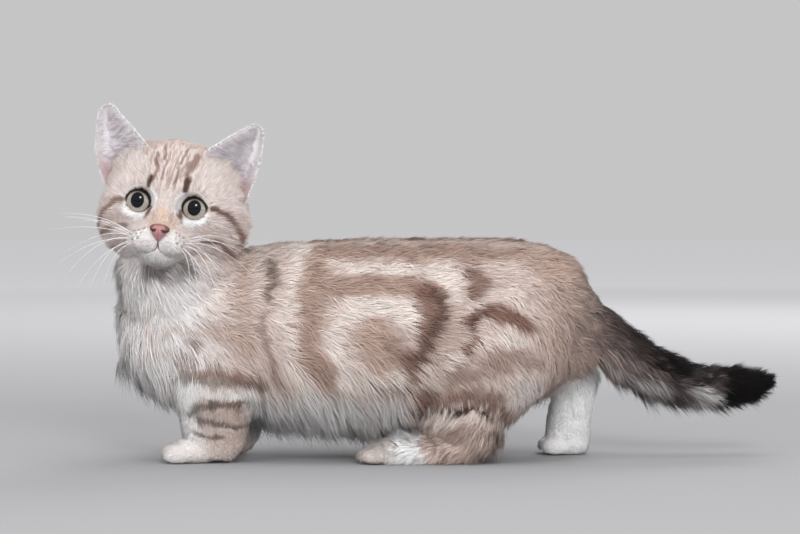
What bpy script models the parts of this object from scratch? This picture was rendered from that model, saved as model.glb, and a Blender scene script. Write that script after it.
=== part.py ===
"""A life-size still model of a standing Munchkin kitten, looking over its left shoulder side.

Drawn in millimetres and built in metres. The kitten faces -X, its left flank faces -Y and +Z is up.
The head has its own frame: x towards its left ear, y from the face to the back of the skull, z up.
"""

import random

import bmesh
import bpy
import numpy as np
from mathutils import Matrix, Vector

MM = 0.001  # millimetres to metres
GAP = 0.3  # clearance between neighbouring pieces
SINK = 4.5  # how deep the root of each lock of long coat sits in the body

# Driving dimensions
BODY_TOP = 129.5  # height of the back
RUMP_X = 99.0  # rear end of the body
CHEST_X = -181.0  # front end of the chest
EYE_MIDDLE = (-151.6, -46.0, 147.1)  # point between the eyes
HEAD_YAW, HEAD_PITCH, HEAD_ROLL = -1.5, -2.0, 8.0  # degrees
EYE_SPACING = 15.9  # from the middle of the face to each eye
EYE_RADIUS = 8.6
EYE_DEPTH = 7.6  # from the face plane to the centre of the eyeball
LEG_SPACING = 26.0  # from the middle of the body to each paw
SHIFT = (11.0, 6.0, 0.0)  # puts the middle of the whole box over the origin

# Body sections from chest to rump: x, top, bottom, half width
TORSO_SECTIONS = [
    (CHEST_X, 90, 68, 13),
    (-176, 102, 59, 24),
    (-168, 111, 47, 33),
    (-155, 117, 37, 40),
    (-138, 121, 31, 44),
    (-115, 124, 25, 47),
    (-90, 127, 20.5, 50),
    (-60, 128.5, 17.5, 52),
    (-30, BODY_TOP, 18, 53),
    (0, BODY_TOP, 23, 52),
    (25, BODY_TOP + 0.3, 27, 49),
    (50, BODY_TOP - 0.5, 32, 45),
    (66, 124, 38, 40),
    (81, 110.5, 46, 31),
    (92, 97, 57, 20),
    (RUMP_X - 2, 84, 69, 9),
]
BELLY_FRINGE = 8.0  # how far the tips of the belly's coat hang below its body
FRINGE_RANGE = (-100.0, -12.0)
TAIL_FRINGE = 3.2

# Neck from the chest into the skull: x, y, z, half length, half width
NECK_SECTIONS = [
    (-141, 0, 66, 22, 26),
    (-143, -2, 84, 34, 35),
    (-145, -6, 98, 38, 36),
    (-147, -10, 112, 37, 34),
    (-148, -14, 126, 33, 32),
    (-149, -16, 140, 22, 24),
]

# Tail from the rump to the tip: x, y, z, radius
TAIL_SECTIONS = [
    (72, 0, 92, 12),
    (82, 0, 83.5, 17.5),
    (94, 0, 72.5, 18),
    (107, 1, 61.5, 17.3),
    (124, 3, 50.8, 16.6),
    (141, 6, 44.4, 15.4),
    (154, 8, 41.4, 14.6),
    (166, 10, 40.3, 14.2),
    (178, 12, 40.4, 13.2),
    (189, 13, 42.0, 11.4),
    (196, 14, 43.8, 8.4),
    (200, 14, 44.6, 3.5),
]
TAIL_CUTS = (120.0, 158.0)  # where the tail is divided

# Ellipsoids of flesh and fur that make the head: centre, radii
HEAD_MASSES = [
    ((0, 31, 6.5), (37.5, 35.5, 32.5)),
    ((22.8, 25, -6.5), (21.6, 23, 22.5)),
    ((-22.8, 25, -6.5), (21.6, 23, 22.5)),
    ((0, 18, -19), (23, 25, 15)),
    ((7.8, -0.6, -20.6), (9.4, 8.6, 7.6)),
    ((-7.8, -0.6, -20.6), (9.4, 8.6, 7.6)),
    ((0, 0.5, -4), (6.5, 8.5, 9)),
    ((0, -4.2, -11), (5.6, 7.4, 6.2)),
    ((0, -1.6, -29.2), (8.5, 8.5, 5.4)),
]
HEAD_BLEND = 3.0
HEAD_CENTRE = (0, 24, -4)
SOCKET_RADIUS = 9.4
SOCKET_DEPTH = -3.2


def rotation_of_head():
    yaw = Matrix.Rotation(np.radians(HEAD_YAW), 4, "Z")
    pitch = Matrix.Rotation(np.radians(HEAD_PITCH), 4, "X")
    roll = Matrix.Rotation(np.radians(HEAD_ROLL), 4, "Y")
    return yaw @ pitch @ roll


HEAD_FRAME = Matrix.Translation(EYE_MIDDLE) @ rotation_of_head()


def clear_scene():
    for item in list(bpy.data.objects):
        bpy.data.objects.remove(item)


def make_material(name, colour, roughness):
    material = bpy.data.materials.new(name)
    material.use_nodes = True
    shader = material.node_tree.nodes["Principled BSDF"]
    shader.inputs["Base Color"].default_value = (*colour, 1.0)
    shader.inputs["Roughness"].default_value = roughness
    shader.inputs["Metallic"].default_value = 0.0
    material.diffuse_color = (*colour, 1.0)
    return material


def object_from(name, work, frame=None):
    """Turns a bmesh drawn in millimetres into an object in metres and frees it."""
    if frame is not None:
        bmesh.ops.transform(work, matrix=frame, verts=work.verts)
    bmesh.ops.recalc_face_normals(work, faces=work.faces)
    bmesh.ops.scale(work, vec=(MM, MM, MM), verts=work.verts)
    mesh = bpy.data.meshes.new(name)
    work.to_mesh(mesh)
    work.free()
    made = bpy.data.objects.new(name, mesh)
    bpy.context.scene.collection.objects.link(made)
    return made


def apply_modifiers(item):
    bpy.context.view_layer.update()
    graph = bpy.context.evaluated_depsgraph_get()
    mesh = bpy.data.meshes.new_from_object(item.evaluated_get(graph))
    item.modifiers.clear()
    item.data = mesh


def combine(item, others, operation):
    """One Boolean of item with a collection of closed pieces, which are then removed."""
    pieces = bpy.data.collections.new("pieces")
    bpy.context.scene.collection.children.link(pieces)
    for other in others:
        bpy.context.scene.collection.objects.unlink(other)
        pieces.objects.link(other)
    step = item.modifiers.new(operation.lower(), "BOOLEAN")
    step.operation = operation
    step.operand_type = "COLLECTION"
    step.collection = pieces
    step.solver = "MANIFOLD"
    apply_modifiers(item)
    for other in others:
        bpy.data.objects.remove(other)
    bpy.data.collections.remove(pieces)
    keep_largest(item)
    return item


def keep_largest(item):
    """Drops every loose scrap and sealed hollow, so that one closed surface is left."""
    work = bmesh.new()
    work.from_mesh(item.data)
    left = set(work.faces)
    islands = []
    while left:
        island = [left.pop()]
        for face in island:
            for edge in face.edges:
                for near in edge.link_faces:
                    if near in left:
                        left.discard(near)
                        island.append(near)
        islands.append(island)
    islands.sort(key=lambda island: sum(face.calc_area() for face in island), reverse=True)
    for island in islands[1:]:
        bmesh.ops.delete(work, geom=island, context="FACES")
    work.to_mesh(item.data)
    work.free()


def melt(pieces, name, voxel, rounds, triangles):
    """Joins overlapping pieces into one smooth closed skin with about this many triangles."""
    work = bmesh.new()
    for piece in pieces:
        work.from_mesh(piece.data)
        bpy.data.objects.remove(piece)
    mesh = bpy.data.meshes.new(name)
    work.to_mesh(mesh)
    work.free()
    made = bpy.data.objects.new(name, mesh)
    bpy.context.scene.collection.objects.link(made)
    remesh = made.modifiers.new("remesh", "REMESH")
    remesh.mode = "VOXEL"
    remesh.voxel_size = voxel * MM
    smooth = made.modifiers.new("smooth", "SMOOTH")
    smooth.factor = 0.5
    smooth.iterations = rounds
    apply_modifiers(made)
    thin_out(made, triangles)
    return made


def thin_out(item, triangles):
    faces = sum(len(face.vertices) - 2 for face in item.data.polygons)
    step = item.modifiers.new("thin", "DECIMATE")
    step.ratio = min(1.0, triangles / faces)
    step.use_collapse_triangulate = True
    apply_modifiers(item)
    keep_largest(item)


def spline(rows, steps):
    """Rows of numbers made denser by a smooth curve through them, with `steps` for each span."""
    rows = np.array(rows, float)
    padded = np.vstack([2 * rows[0] - rows[1], rows, 2 * rows[-1] - rows[-2]])
    made = []
    for k in range(len(rows) - 1):
        before, start, end, after = padded[k : k + 4]
        for t in np.arange(steps) / steps:
            made.append(
                0.5
                * (
                    2 * start
                    + (end - before) * t
                    + (2 * before - 5 * start + 4 * end - after) * t**2
                    + (3 * start - before - 3 * end + after) * t**3
                )
            )
    made.append(rows[-1])
    return np.array(made)


def loft(rings, up_axis, sides=24, squareness=2.0):
    """A closed tube through rings of (x, y, z, up, down, side), round at its ends."""
    rings = np.array(rings, float)
    centres = rings[:, :3]
    tangents = np.gradient(centres, axis=0)
    tangents /= np.linalg.norm(tangents, axis=1)[:, None]
    angles = np.linspace(0, 2 * np.pi, sides, endpoint=False)
    power = 2.0 / squareness
    rise = np.sign(np.sin(angles)) * np.abs(np.sin(angles)) ** power
    reach = np.sign(np.cos(angles)) * np.abs(np.cos(angles)) ** power
    work = bmesh.new()
    loops = []
    for centre, tangent, (up, down, side) in zip(centres, tangents, rings[:, 3:]):
        up_way = np.array(up_axis, float) - np.dot(up_axis, tangent) * tangent
        up_way /= np.linalg.norm(up_way)
        side_way = np.cross(tangent, up_way)
        lift = np.where(rise > 0, up, down) * rise
        points = centre + np.outer(lift, up_way) + np.outer(reach * side, side_way)
        loops.append([work.verts.new(point) for point in points])
    for first, second in zip(loops, loops[1:]):
        for k in range(sides):
            after = (k + 1) % sides
            work.faces.new((first[k], first[after], second[after], second[k]))
    for loop, place in ((loops[0], centres[0]), (loops[-1], centres[-1])):
        pole = work.verts.new(place)
        for k in range(sides):
            work.faces.new((loop[k], loop[(k + 1) % sides], pole))
    return work


def ellipsoid(centre, radii, turn=None, detail=3):
    work = bmesh.new()
    bmesh.ops.create_icosphere(work, subdivisions=detail, radius=1.0)
    bmesh.ops.scale(work, vec=radii, verts=work.verts)
    if turn is not None:
        bmesh.ops.rotate(work, cent=(0, 0, 0), matrix=turn, verts=work.verts)
    bmesh.ops.translate(work, vec=centre, verts=work.verts)
    return work


def box(low, high):
    work = bmesh.new()
    bmesh.ops.create_cube(work, size=1.0)
    middle = (Vector(low) + Vector(high)) / 2
    bmesh.ops.scale(work, vec=Vector(high) - Vector(low), verts=work.verts)
    bmesh.ops.translate(work, vec=middle, verts=work.verts)
    return work


def fringe_at(x):
    """How far the belly's coat hangs below its body at this place along it."""
    start, end = FRINGE_RANGE
    share = np.clip((x - start) / (end - start), 0.0, 1.0)
    return BELLY_FRINGE * np.sin(np.pi * share) ** 0.7


def torso(grow=0.0):
    rings = []
    for x, top, bottom, half_width in spline(TORSO_SECTIONS, 2):
        waist = bottom + 0.46 * (top - bottom)
        rings.append((x, 0, waist, top - waist + grow, waist - bottom + grow, half_width + grow))
    rings[0] = (rings[0][0] - grow, *rings[0][1:])
    rings[-1] = (rings[-1][0] + grow, *rings[-1][1:])
    return object_from("torso", loft(rings, (0, 0, 1), sides=26, squareness=2.15))


def neck():
    rows = spline(NECK_SECTIONS, 2)
    rings = [(x, y, z, length, length, width) for x, y, z, length, width in rows]
    return object_from("neck", loft(rings, (1, 0, 0), sides=22, squareness=2.1))


def tail(grow=0.0):
    rings = []
    for x, y, z, r in spline(TAIL_SECTIONS, 2):
        rings.append((x, y, z, r + grow, r - TAIL_FRINGE * min(r / 14, 1.0) + grow, 0.92 * r + grow))
    return object_from("tail", loft(rings, (0, 0, 1), sides=20))


def lock(root, way, normal, length, width):
    """A flat, tapered, bent lock of coat that grows out of the skin and lies along it."""
    root, way, normal = (np.array(value, float) for value in (root, way, normal))
    way /= np.linalg.norm(way)
    normal /= np.linalg.norm(normal)
    across = np.cross(way, normal)
    across /= np.linalg.norm(across)
    rise = np.cross(across, way)
    start = root - normal * SINK
    reach = root + way * length - start
    work = bmesh.new()
    loops = []
    for t, share in ((0.0, 0.9), (0.42, 1.0), (0.76, 0.62)):
        centre = start + reach * t + normal * SINK * 0.9 * t * (1 - t)
        loop = []
        for k in range(4):
            turn = 2 * np.pi * k / 4
            offset = across * np.cos(turn) * width + rise * np.sin(turn) * width * 0.34
            loop.append(work.verts.new(centre + offset * share))
        loops.append(loop)
    for first, second in zip(loops, loops[1:]):
        for k in range(4):
            after = (k + 1) % 4
            work.faces.new((first[k], first[after], second[after], second[k]))
    tip = work.verts.new(start + reach)
    base = work.verts.new(start - reach * 0.08)
    for k in range(4):
        work.faces.new((loops[-1][k], loops[-1][(k + 1) % 4], tip))
        work.faces.new((loops[0][k], loops[0][(k + 1) % 4], base))
    return object_from("lock", work)


def torso_at(x, angle):
    """A point on the side of the body and the way out of it; angle 0 is the left flank, 90 below."""
    rows = spline(TORSO_SECTIONS, 4)
    top, bottom, half_width = (np.interp(x, rows[:, 0], rows[:, k]) for k in (1, 2, 3))
    waist = bottom + 0.46 * (top - bottom)
    power = 2.0 / 2.15
    down, side = np.sin(np.radians(angle)), -np.cos(np.radians(angle))
    depth = waist - bottom if down > 0 else top - waist
    y = np.sign(side) * abs(side) ** power * half_width
    z = waist - np.sign(down) * abs(down) ** power * depth
    return np.array((x, y, z)), np.array((0, y / half_width**2, (z - waist) / depth**2))


def belly_locks():
    """The fringe below the body, lowest in the middle of its length."""
    chance = random.Random(11)
    made = []
    for row, angle in enumerate((44, 61, 80, 100, 119, 136)):
        for k in range(8):
            x = -103 + 11.5 * k + 5.5 * (row % 2) + chance.uniform(-1.5, 1.5)
            root, normal = torso_at(x, angle)
            if x < -89 and abs(root[1]) > 6:
                continue
            over_foot = x > -78 and root[1] < -12
            lowest = 21.5 if over_foot else 8.5 + 9 * (1 - fringe_at(x + 4) / BELLY_FRINGE)
            drop = min(root[2] - lowest - chance.uniform(0, 2.5), 19.0)
            if drop < 5:
                continue
            outward = 0.10 * np.sign(root[1])
            way = np.array((0.30 + chance.uniform(-0.12, 0.12), outward, -1.0))
            length = drop * np.linalg.norm(way)
            made.append(lock(root, way, normal, length, chance.uniform(4.0, 4.8)))
    return made


def chest_locks():
    """The bib on the front of the chest."""
    chance = random.Random(12)
    made = []
    rows = (
        (-179, (-30, 60, 150)),
        (-175, (-60, -5, 40, 90, 140)),
        (-168, (-25, 15, 50, 75, 118)),
        (-158, (-5, 22, 44)),
    )
    for x, angles in rows:
        for angle in angles:
            root, normal = torso_at(x, angle)
            normal = normal / np.linalg.norm(normal) + np.array(((x + 145) / 22, 0, 0))
            normal /= np.linalg.norm(normal)
            way = np.array((0.0, 0.0, -1.0)) - normal[2] * -1.0 * normal
            way = way / np.linalg.norm(way) + 0.16 * normal
            made.append(lock(root, way, normal, chance.uniform(13, 16), chance.uniform(3.8, 4.6)))
    return made


def bib_locks():
    """Longer coat down the front of the neck."""
    chance = random.Random(13)
    made = []
    rows = spline(NECK_SECTIONS, 4)
    for height, turns in ((100, (-170, -142, -114, -86)), (88, (-182, -156, -128, -100))):
        x, y, half_length, half_width = (
            np.interp(height, rows[:, 2], rows[:, k]) for k in (0, 1, 3, 4)
        )
        for turn in turns:
            out = np.array((np.cos(np.radians(turn)), np.sin(np.radians(turn)), 0))
            root = np.array((x, y, height)) + out * (half_length, half_width, 0)
            way = out * 0.12 + np.array((0, 0, -1.0))
            made.append(lock(root, way, out, chance.uniform(13, 16), chance.uniform(3.8, 4.6)))
    return made


def tail_locks():
    """The fringe under the tail, swept towards its tip."""
    chance = random.Random(14)
    made = []
    rows = spline(TAIL_SECTIONS, 6)
    for x in (98, 107, 125, 134, 143, 161, 170, 179):
        at = int(np.argmin(abs(rows[:, 0] - x)))
        along = rows[at + 1, :3] - rows[at - 1, :3]
        along /= np.linalg.norm(along)
        radius = rows[at, 3]
        for turn in (-128, -90, -52):
            out = np.array((0, np.cos(np.radians(turn)), np.sin(np.radians(turn))))
            out -= np.dot(out, along) * along
            out /= np.linalg.norm(out)
            root = rows[at, :3] + out * (radius - TAIL_FRINGE)
            way = along + out * chance.uniform(0.24, 0.34)
            made.append(lock(root, way, out, chance.uniform(12, 15), chance.uniform(3.4, 4.0)))
    return made


def head_field(points):
    """Distance from the blended masses of the head, negative inside."""
    nearness = 0.0
    for centre, radii in HEAD_MASSES:
        offset = points - np.array(centre, float)
        scaled = np.linalg.norm(offset / radii, axis=-1)
        steepness = np.linalg.norm(offset / np.square(radii), axis=-1)
        distance = scaled * (scaled - 1) / np.maximum(steepness, 1e-6)
        nearness = nearness + np.exp(-distance / HEAD_BLEND)
    field = -HEAD_BLEND * np.log(nearness)
    for side in (-1, 1):
        socket = np.array((side * EYE_SPACING, SOCKET_DEPTH, 0.0))
        hollow = SOCKET_RADIUS - np.linalg.norm(points - socket, axis=-1)
        softness = 1.6
        field = softness * np.logaddexp(field / softness, hollow / softness)
    return field


def on_head(directions):
    """The places where rays from the middle of the head leave it."""
    directions = directions / np.linalg.norm(directions, axis=-1)[..., None]
    reach = np.full(directions.shape[:-1], 80.0)
    for _ in range(90):
        reach = reach - 0.6 * head_field(np.array(HEAD_CENTRE) + directions * reach[..., None])
    return np.array(HEAD_CENTRE) + directions * reach[..., None]


def head(grow=0.0, detail=6, triangles=1650):
    work = bmesh.new()
    bmesh.ops.create_icosphere(work, subdivisions=detail, radius=1.0)
    work.verts.ensure_lookup_table()
    places = on_head(np.array([vert.co for vert in work.verts]))
    for vert, place in zip(work.verts, places):
        vert.co = place
    work.normal_update()
    if grow:
        moved = [vert.co + vert.normal * grow for vert in work.verts]
        for vert, place in zip(work.verts, moved):
            vert.co = place
    made = object_from("head", work, HEAD_FRAME)
    if triangles:
        thin_out(made, triangles)
    return made


def eye(side, name, grow=0.0):
    """An eyeball with its cornea raised in front."""
    work = bmesh.new()
    bmesh.ops.create_uvsphere(work, u_segments=16, v_segments=10, radius=EYE_RADIUS + grow)
    bmesh.ops.rotate(
        work, cent=(0, 0, 0), matrix=Matrix.Rotation(np.pi / 2, 3, "X"), verts=work.verts
    )
    for vert in work.verts:
        around = np.hypot(vert.co.x, vert.co.z)
        if vert.co.y < 0:
            vert.co.y -= 0.9 * max(0.0, 1 - (around / 6.8) ** 2)
    bmesh.ops.translate(work, vec=(side * EYE_SPACING, EYE_DEPTH, 0), verts=work.verts)
    return object_from(name, work, HEAD_FRAME)


def lids(side, name, grow=0.0):
    """The rim of both lids, round with a drawn-out inner corner."""
    rings, around = 26, 5
    inner_corner = np.radians(205 if side > 0 else -25)
    work = bmesh.new()
    loops = []
    for k in range(rings):
        angle = 2 * np.pi * k / rings
        corner = np.exp(-((np.angle(np.exp(1j * (angle - inner_corner))) / 0.30) ** 2))
        radius = 7.3 + 2.0 * corner
        x = side * EYE_SPACING + radius * np.cos(angle)
        z = 0.97 * radius * np.sin(angle)
        y = EYE_DEPTH - np.sqrt(max(EYE_RADIUS**2 - min(radius, 8.0) ** 2, 4.0)) - 0.2
        out = np.array((np.cos(angle), 0.35, np.sin(angle)))
        out /= np.linalg.norm(out)
        across = np.array((0, 1, 0)) - out[1] * out
        across /= np.linalg.norm(across)
        thick = (0.95 if np.sin(angle) > -0.2 else 0.75) + grow
        loop = []
        for j in range(around):
            turn = 2 * np.pi * j / around
            place = np.array((x, y, z)) + thick * (
                np.cos(turn) * out * 1.25 + np.sin(turn) * across
            )
            loop.append(work.verts.new(place))
        loops.append(loop)
    for k in range(rings):
        first, second = loops[k], loops[(k + 1) % rings]
        for j in range(around):
            after = (j + 1) % around
            work.faces.new((first[j], first[after], second[after], second[j]))
    return object_from(name, work, HEAD_FRAME)


def nose(grow=0.0):
    pieces = [
        object_from("bridge", ellipsoid((0, -11.2, -14.6), (5.6 + grow, 4.4 + grow, 3.1 + grow))),
        object_from("tip", ellipsoid((0, -12.4, -17.0), (3.4 + grow, 3.6 + grow, 3.4 + grow))),
    ]
    made = melt(pieces, "nose", 0.5, 4, 260)
    made.data.transform(Matrix.Scale(MM, 4) @ HEAD_FRAME @ Matrix.Scale(1 / MM, 4))
    return made


def nostril(side):
    turn = Matrix.Rotation(np.radians(side * 28), 3, "Y")
    place = (side * 2.7, -14.9, -16.0)
    return object_from("nostril", ellipsoid(place, (1.5, 2.2, 0.8), turn, detail=2), HEAD_FRAME)


# Inner and outer edge of the left ear from below its base to its tip: x, depth, z
EAR_INNER = [
    (11, 22, 20),
    (17.5, 24, 30.5),
    (26.5, 28, 38.5),
    (35, 32, 45.4),
    (40.5, 35.5, 49.6),
    (43.4, 37.5, 51.4),
    (45.4, 38.4, 52.0),
]
EAR_OUTER = [
    (36, 30, -6),
    (42.0, 31, 6),
    (46.3, 32.5, 19),
    (48.8, 34.5, 31),
    (49.6, 36.5, 41),
    (48.9, 38, 47.6),
    (47.4, 38.6, 50.6),
]
EAR_CUP = (20.0, 18.0, 13.5, 9.5, 6.5, 4.0, 2.0)  # how deep the cup is at each of them
EAR_THICKNESS = 1.5


def ear(side, name):
    """A cupped ear, open to the front, whose base runs into the head."""
    inner, outer = spline(EAR_INNER, 2), spline(EAR_OUTER, 2)
    cups = spline(np.array(EAR_CUP)[:, None], 2)[:, 0]
    spreads = np.linspace(0, 1, 11)
    work = bmesh.new()
    sheets = []
    for back in (0.0, EAR_THICKNESS):
        sheet = []
        for near, far, cup in zip(inner, outer, cups):
            row = []
            for share in spreads:
                place = near + (far - near) * share
                bulge = np.sin(np.pi * share) ** 0.8
                place = place + np.array((0.10, 1.0, -0.25)) * (cup * bulge + back)
                row.append(work.verts.new((side * place[0], place[1], place[2])))
            sheet.append(row)
        sheets.append(sheet)
    rows, columns = len(inner), len(spreads)
    for i in range(rows - 1):
        for j in range(columns - 1):
            for sheet in sheets:
                corners = [sheet[i][j], sheet[i][j + 1], sheet[i + 1][j + 1], sheet[i + 1][j]]
                work.faces.new(corners)
    front, rear = sheets
    edges = [(front[0], rear[0]), (front[-1], rear[-1])]
    edges += [([row[j] for row in front], [row[j] for row in rear]) for j in (0, -1)]
    for near, far in edges:
        for k in range(len(near) - 1):
            work.faces.new((near[k], near[k + 1], far[k + 1], far[k]))
    return object_from(name, work, HEAD_FRAME)


PAD_CENTRE, PAD_RADII = (8.0, -4.8, -21.2), (10.2, 9.4, 7.7)
WHISKERS = [
    # way out of the pad, then the tip of each whisker
    ((0.78, -0.58, 0.30), (62, 6, -10)),
    ((0.84, -0.54, 0.08), (68, 8, -24)),
    ((0.82, -0.56, -0.16), (60, 4, -44)),
    ((0.70, -0.62, -0.38), (45, 0, -57)),
    ((0.62, -0.78, 0.04), (54, -4, -35)),
]


def whisker(side, way, tip, thickness=0.32):
    """A tapered hair that leaves the pad square to it and bends towards its tip."""
    way = np.array(way, float)
    way /= np.linalg.norm(way)
    root = np.array(PAD_CENTRE) + 0.80 * np.array(PAD_RADII) * way
    elbow = root + 22.0 * way + np.array((0, 0, 4.0))
    rows = []
    for t in np.linspace(0, 1, 6):
        place = (1 - t) ** 2 * root + 2 * t * (1 - t) * elbow + t**2 * np.array(tip, float)
        radius = thickness * (1 - 0.55 * t)
        rows.append((side * place[0], place[1], place[2], radius, radius, radius))
    return object_from("whisker", loft(rows, (0, 0.3, 1), sides=4), HEAD_FRAME)


def pad(side, name, grow=0.0):
    """The puffed lip, flat where it meets the other one."""
    work = bmesh.new()
    bmesh.ops.create_uvsphere(work, u_segments=16, v_segments=10, radius=1.0)
    bmesh.ops.scale(work, vec=[radius + grow for radius in PAD_RADII], verts=work.verts)
    bmesh.ops.translate(work, vec=PAD_CENTRE, verts=work.verts)
    plane = (GAP / 2 - grow, 0, 0)
    geometry = work.verts[:] + work.edges[:] + work.faces[:]
    cut = bmesh.ops.bisect_plane(
        work, geom=geometry, plane_co=plane, plane_no=(-1, 0, 0), clear_outer=True
    )
    rim = [item for item in cut["geom_cut"] if isinstance(item, bmesh.types.BMEdge)]
    bmesh.ops.edgenet_fill(work, edges=rim)
    bmesh.ops.scale(work, vec=(side, 1, 1), verts=work.verts)
    return object_from(name, work, HEAD_FRAME)


def whisker_pad(side, name):
    return combine(pad(side, name), [whisker(side, way, tip) for way, tip in WHISKERS], "UNION")


def mouth_cutters():
    """The groove of the mouth, from the foot of the nose out to both corners."""
    pieces = []
    for side in (1, -1):
        line = [(0, -19.0), (0.1, -22.6), (1.2, -26.4), (4.5, -28.6), (8.5, -29.6), (12.0, -29.4)]
        rows = spline([(side * x, -13.0, z) for x, z in line], 2)
        surface = on_head(rows - np.array(HEAD_CENTRE))
        rings = [(*place, 0.7, 0.7, 0.7) for place in surface]
        pieces.append(object_from("groove", loft(rings, (0, -1, 0.1), sides=6), HEAD_FRAME))
    return pieces


def paw(x, y, length=20.0, height=1.0):
    """A round paw with four toes pointing to -X."""
    pieces = [ellipsoid((x + 4, y, 6.8 * height), (length * 0.80, 12.5, 9.0 * height))]
    for k, offset in enumerate((-10.2, -3.6, 3.6, 10.2)):
        reach = 1.0 if k in (1, 2) else 0.80
        centre = (x + 4 - length * 0.60 * reach, y + offset, 5.6 * height)
        pieces.append(ellipsoid(centre, (8.4, 4.7, 6.4 * height)))
    return [object_from("paw", piece) for piece in pieces]


def leg(name, stations, paw_pieces, triangles=950):
    """A limb through (x, y, z, half length, half width) down to its paw, flat on the floor."""
    rows = spline(stations, 2)
    rings = [(x, y, z, length, length, width) for x, y, z, length, width in rows]
    limb = object_from("limb", loft(rings, (1, 0, 0.25), sides=20))
    return melt([limb, *paw_pieces], name, 1.7, 6, triangles)


def front_leg(side, name, shift):
    y = side * LEG_SPACING
    stations = [
        (-118 + shift, 0.72 * y, 96, 12, 9),
        (-121 + shift, 0.86 * y, 86, 21, 15),
        (-123 + shift, 0.98 * y, 68, 26, 18),
        (-124 + shift, 1.06 * y, 50, 27.5, 18.5),
        (-125 + shift, 1.08 * y, 38, 25.5, 17),
        (-125.5 + shift, 1.05 * y, 25, 21.5, 14.5),
        (-126 + shift, y, 14, 19.5, 13),
        (-126 + shift, y, 5, 17.5, 12),
    ]
    return leg(name, stations, paw(-141 + shift, y), 860)


def hind_leg_near(name):
    """The left hind leg, set forward with its heel on the floor."""
    y = -LEG_SPACING
    thigh = object_from(
        "thigh",
        ellipsoid((38, 1.08 * y, 64), (36, 25, 50), Matrix.Rotation(np.radians(38), 3, "Y")),
    )
    shank = [
        (22, 1.10 * y, 56, 14, 12),
        (9, 1.20 * y, 42, 20, 15),
        (17, 1.24 * y, 30, 20, 14),
        (27, 1.22 * y, 19, 15, 12),
        (28, 1.18 * y, 11, 10.5, 10),
    ]
    rings = [(x, yy, z, a, a, b) for x, yy, z, a, b in spline(shank, 2)]
    foot = [
        (32, 1.15 * y, 9, 5, 5, 6),
        (27, 1.15 * y, 8.5, 8.5, 9.5, 9.5),
        (10, 1.15 * y, 7.0, 8.0, 8, 10.5),
        (-12, 1.16 * y, 6.5, 7.5, 7.5, 11.0),
        (-26, 1.16 * y, 6.0, 6.0, 7.0, 9.5),
    ]
    pieces = [
        thigh,
        object_from("shank", loft(rings, (1, 0, 0.3), sides=20)),
        object_from("foot", loft(spline(foot, 2), (0, 0, 1), sides=18)),
        *paw(-30.5, 1.16 * y, length=19.0, height=0.82),
    ]
    return melt(pieces, name, 1.7, 6, 1150)


def hind_leg_far(name):
    """The right hind leg, upright on its toes and set back."""
    y = LEG_SPACING
    thigh = object_from(
        "thigh",
        ellipsoid((50, 1.08 * y, 66), (33, 24, 44), Matrix.Rotation(np.radians(20), 3, "Y")),
    )
    shank = [
        (44, 1.1 * y, 62, 14, 12),
        (58, 1.1 * y, 53, 18, 14),
        (76, 1.1 * y, 50, 16, 13),
        (83, 1.06 * y, 45, 14.5, 12),
        (82, y, 36, 14.0, 12),
        (80, y, 24, 14.0, 12),
        (79, y, 12, 14.5, 12.5),
        (79, y, 4, 12.5, 11.5),
    ]
    rings = [(x, yy, z, a, a, b) for x, yy, z, a, b in spline(shank, 2)]
    pieces = [
        thigh,
        object_from("shank", loft(rings, (0.8, 0, 0.6), sides=20)),
        *paw(78, y, length=18.0),
    ]
    return melt(pieces, name, 1.7, 6, 1050)


def cut_floor(item):
    low, high = (-400, -400, -50), (400, 400, 0)
    return combine(item, [object_from("floor", box(low, high))], "DIFFERENCE")


def copy_grown(item, name, grow):
    """A copy of a closed piece, swollen along its normals, to cut its neighbour clear of it."""
    work = bmesh.new()
    work.from_mesh(item.data)
    bmesh.ops.remove_doubles(work, verts=work.verts, dist=1e-6)
    work.normal_update()
    stretch = [min(vert.calc_shell_factor(), 1.4) for vert in work.verts]
    moved = [vert.co + vert.normal * k * grow * MM for vert, k in zip(work.verts, stretch)]
    for vert, place in zip(work.verts, moved):
        vert.co = place
    mesh = bpy.data.meshes.new(name)
    work.to_mesh(mesh)
    work.free()
    made = bpy.data.objects.new(name, mesh)
    bpy.context.scene.collection.objects.link(made)
    return made


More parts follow.
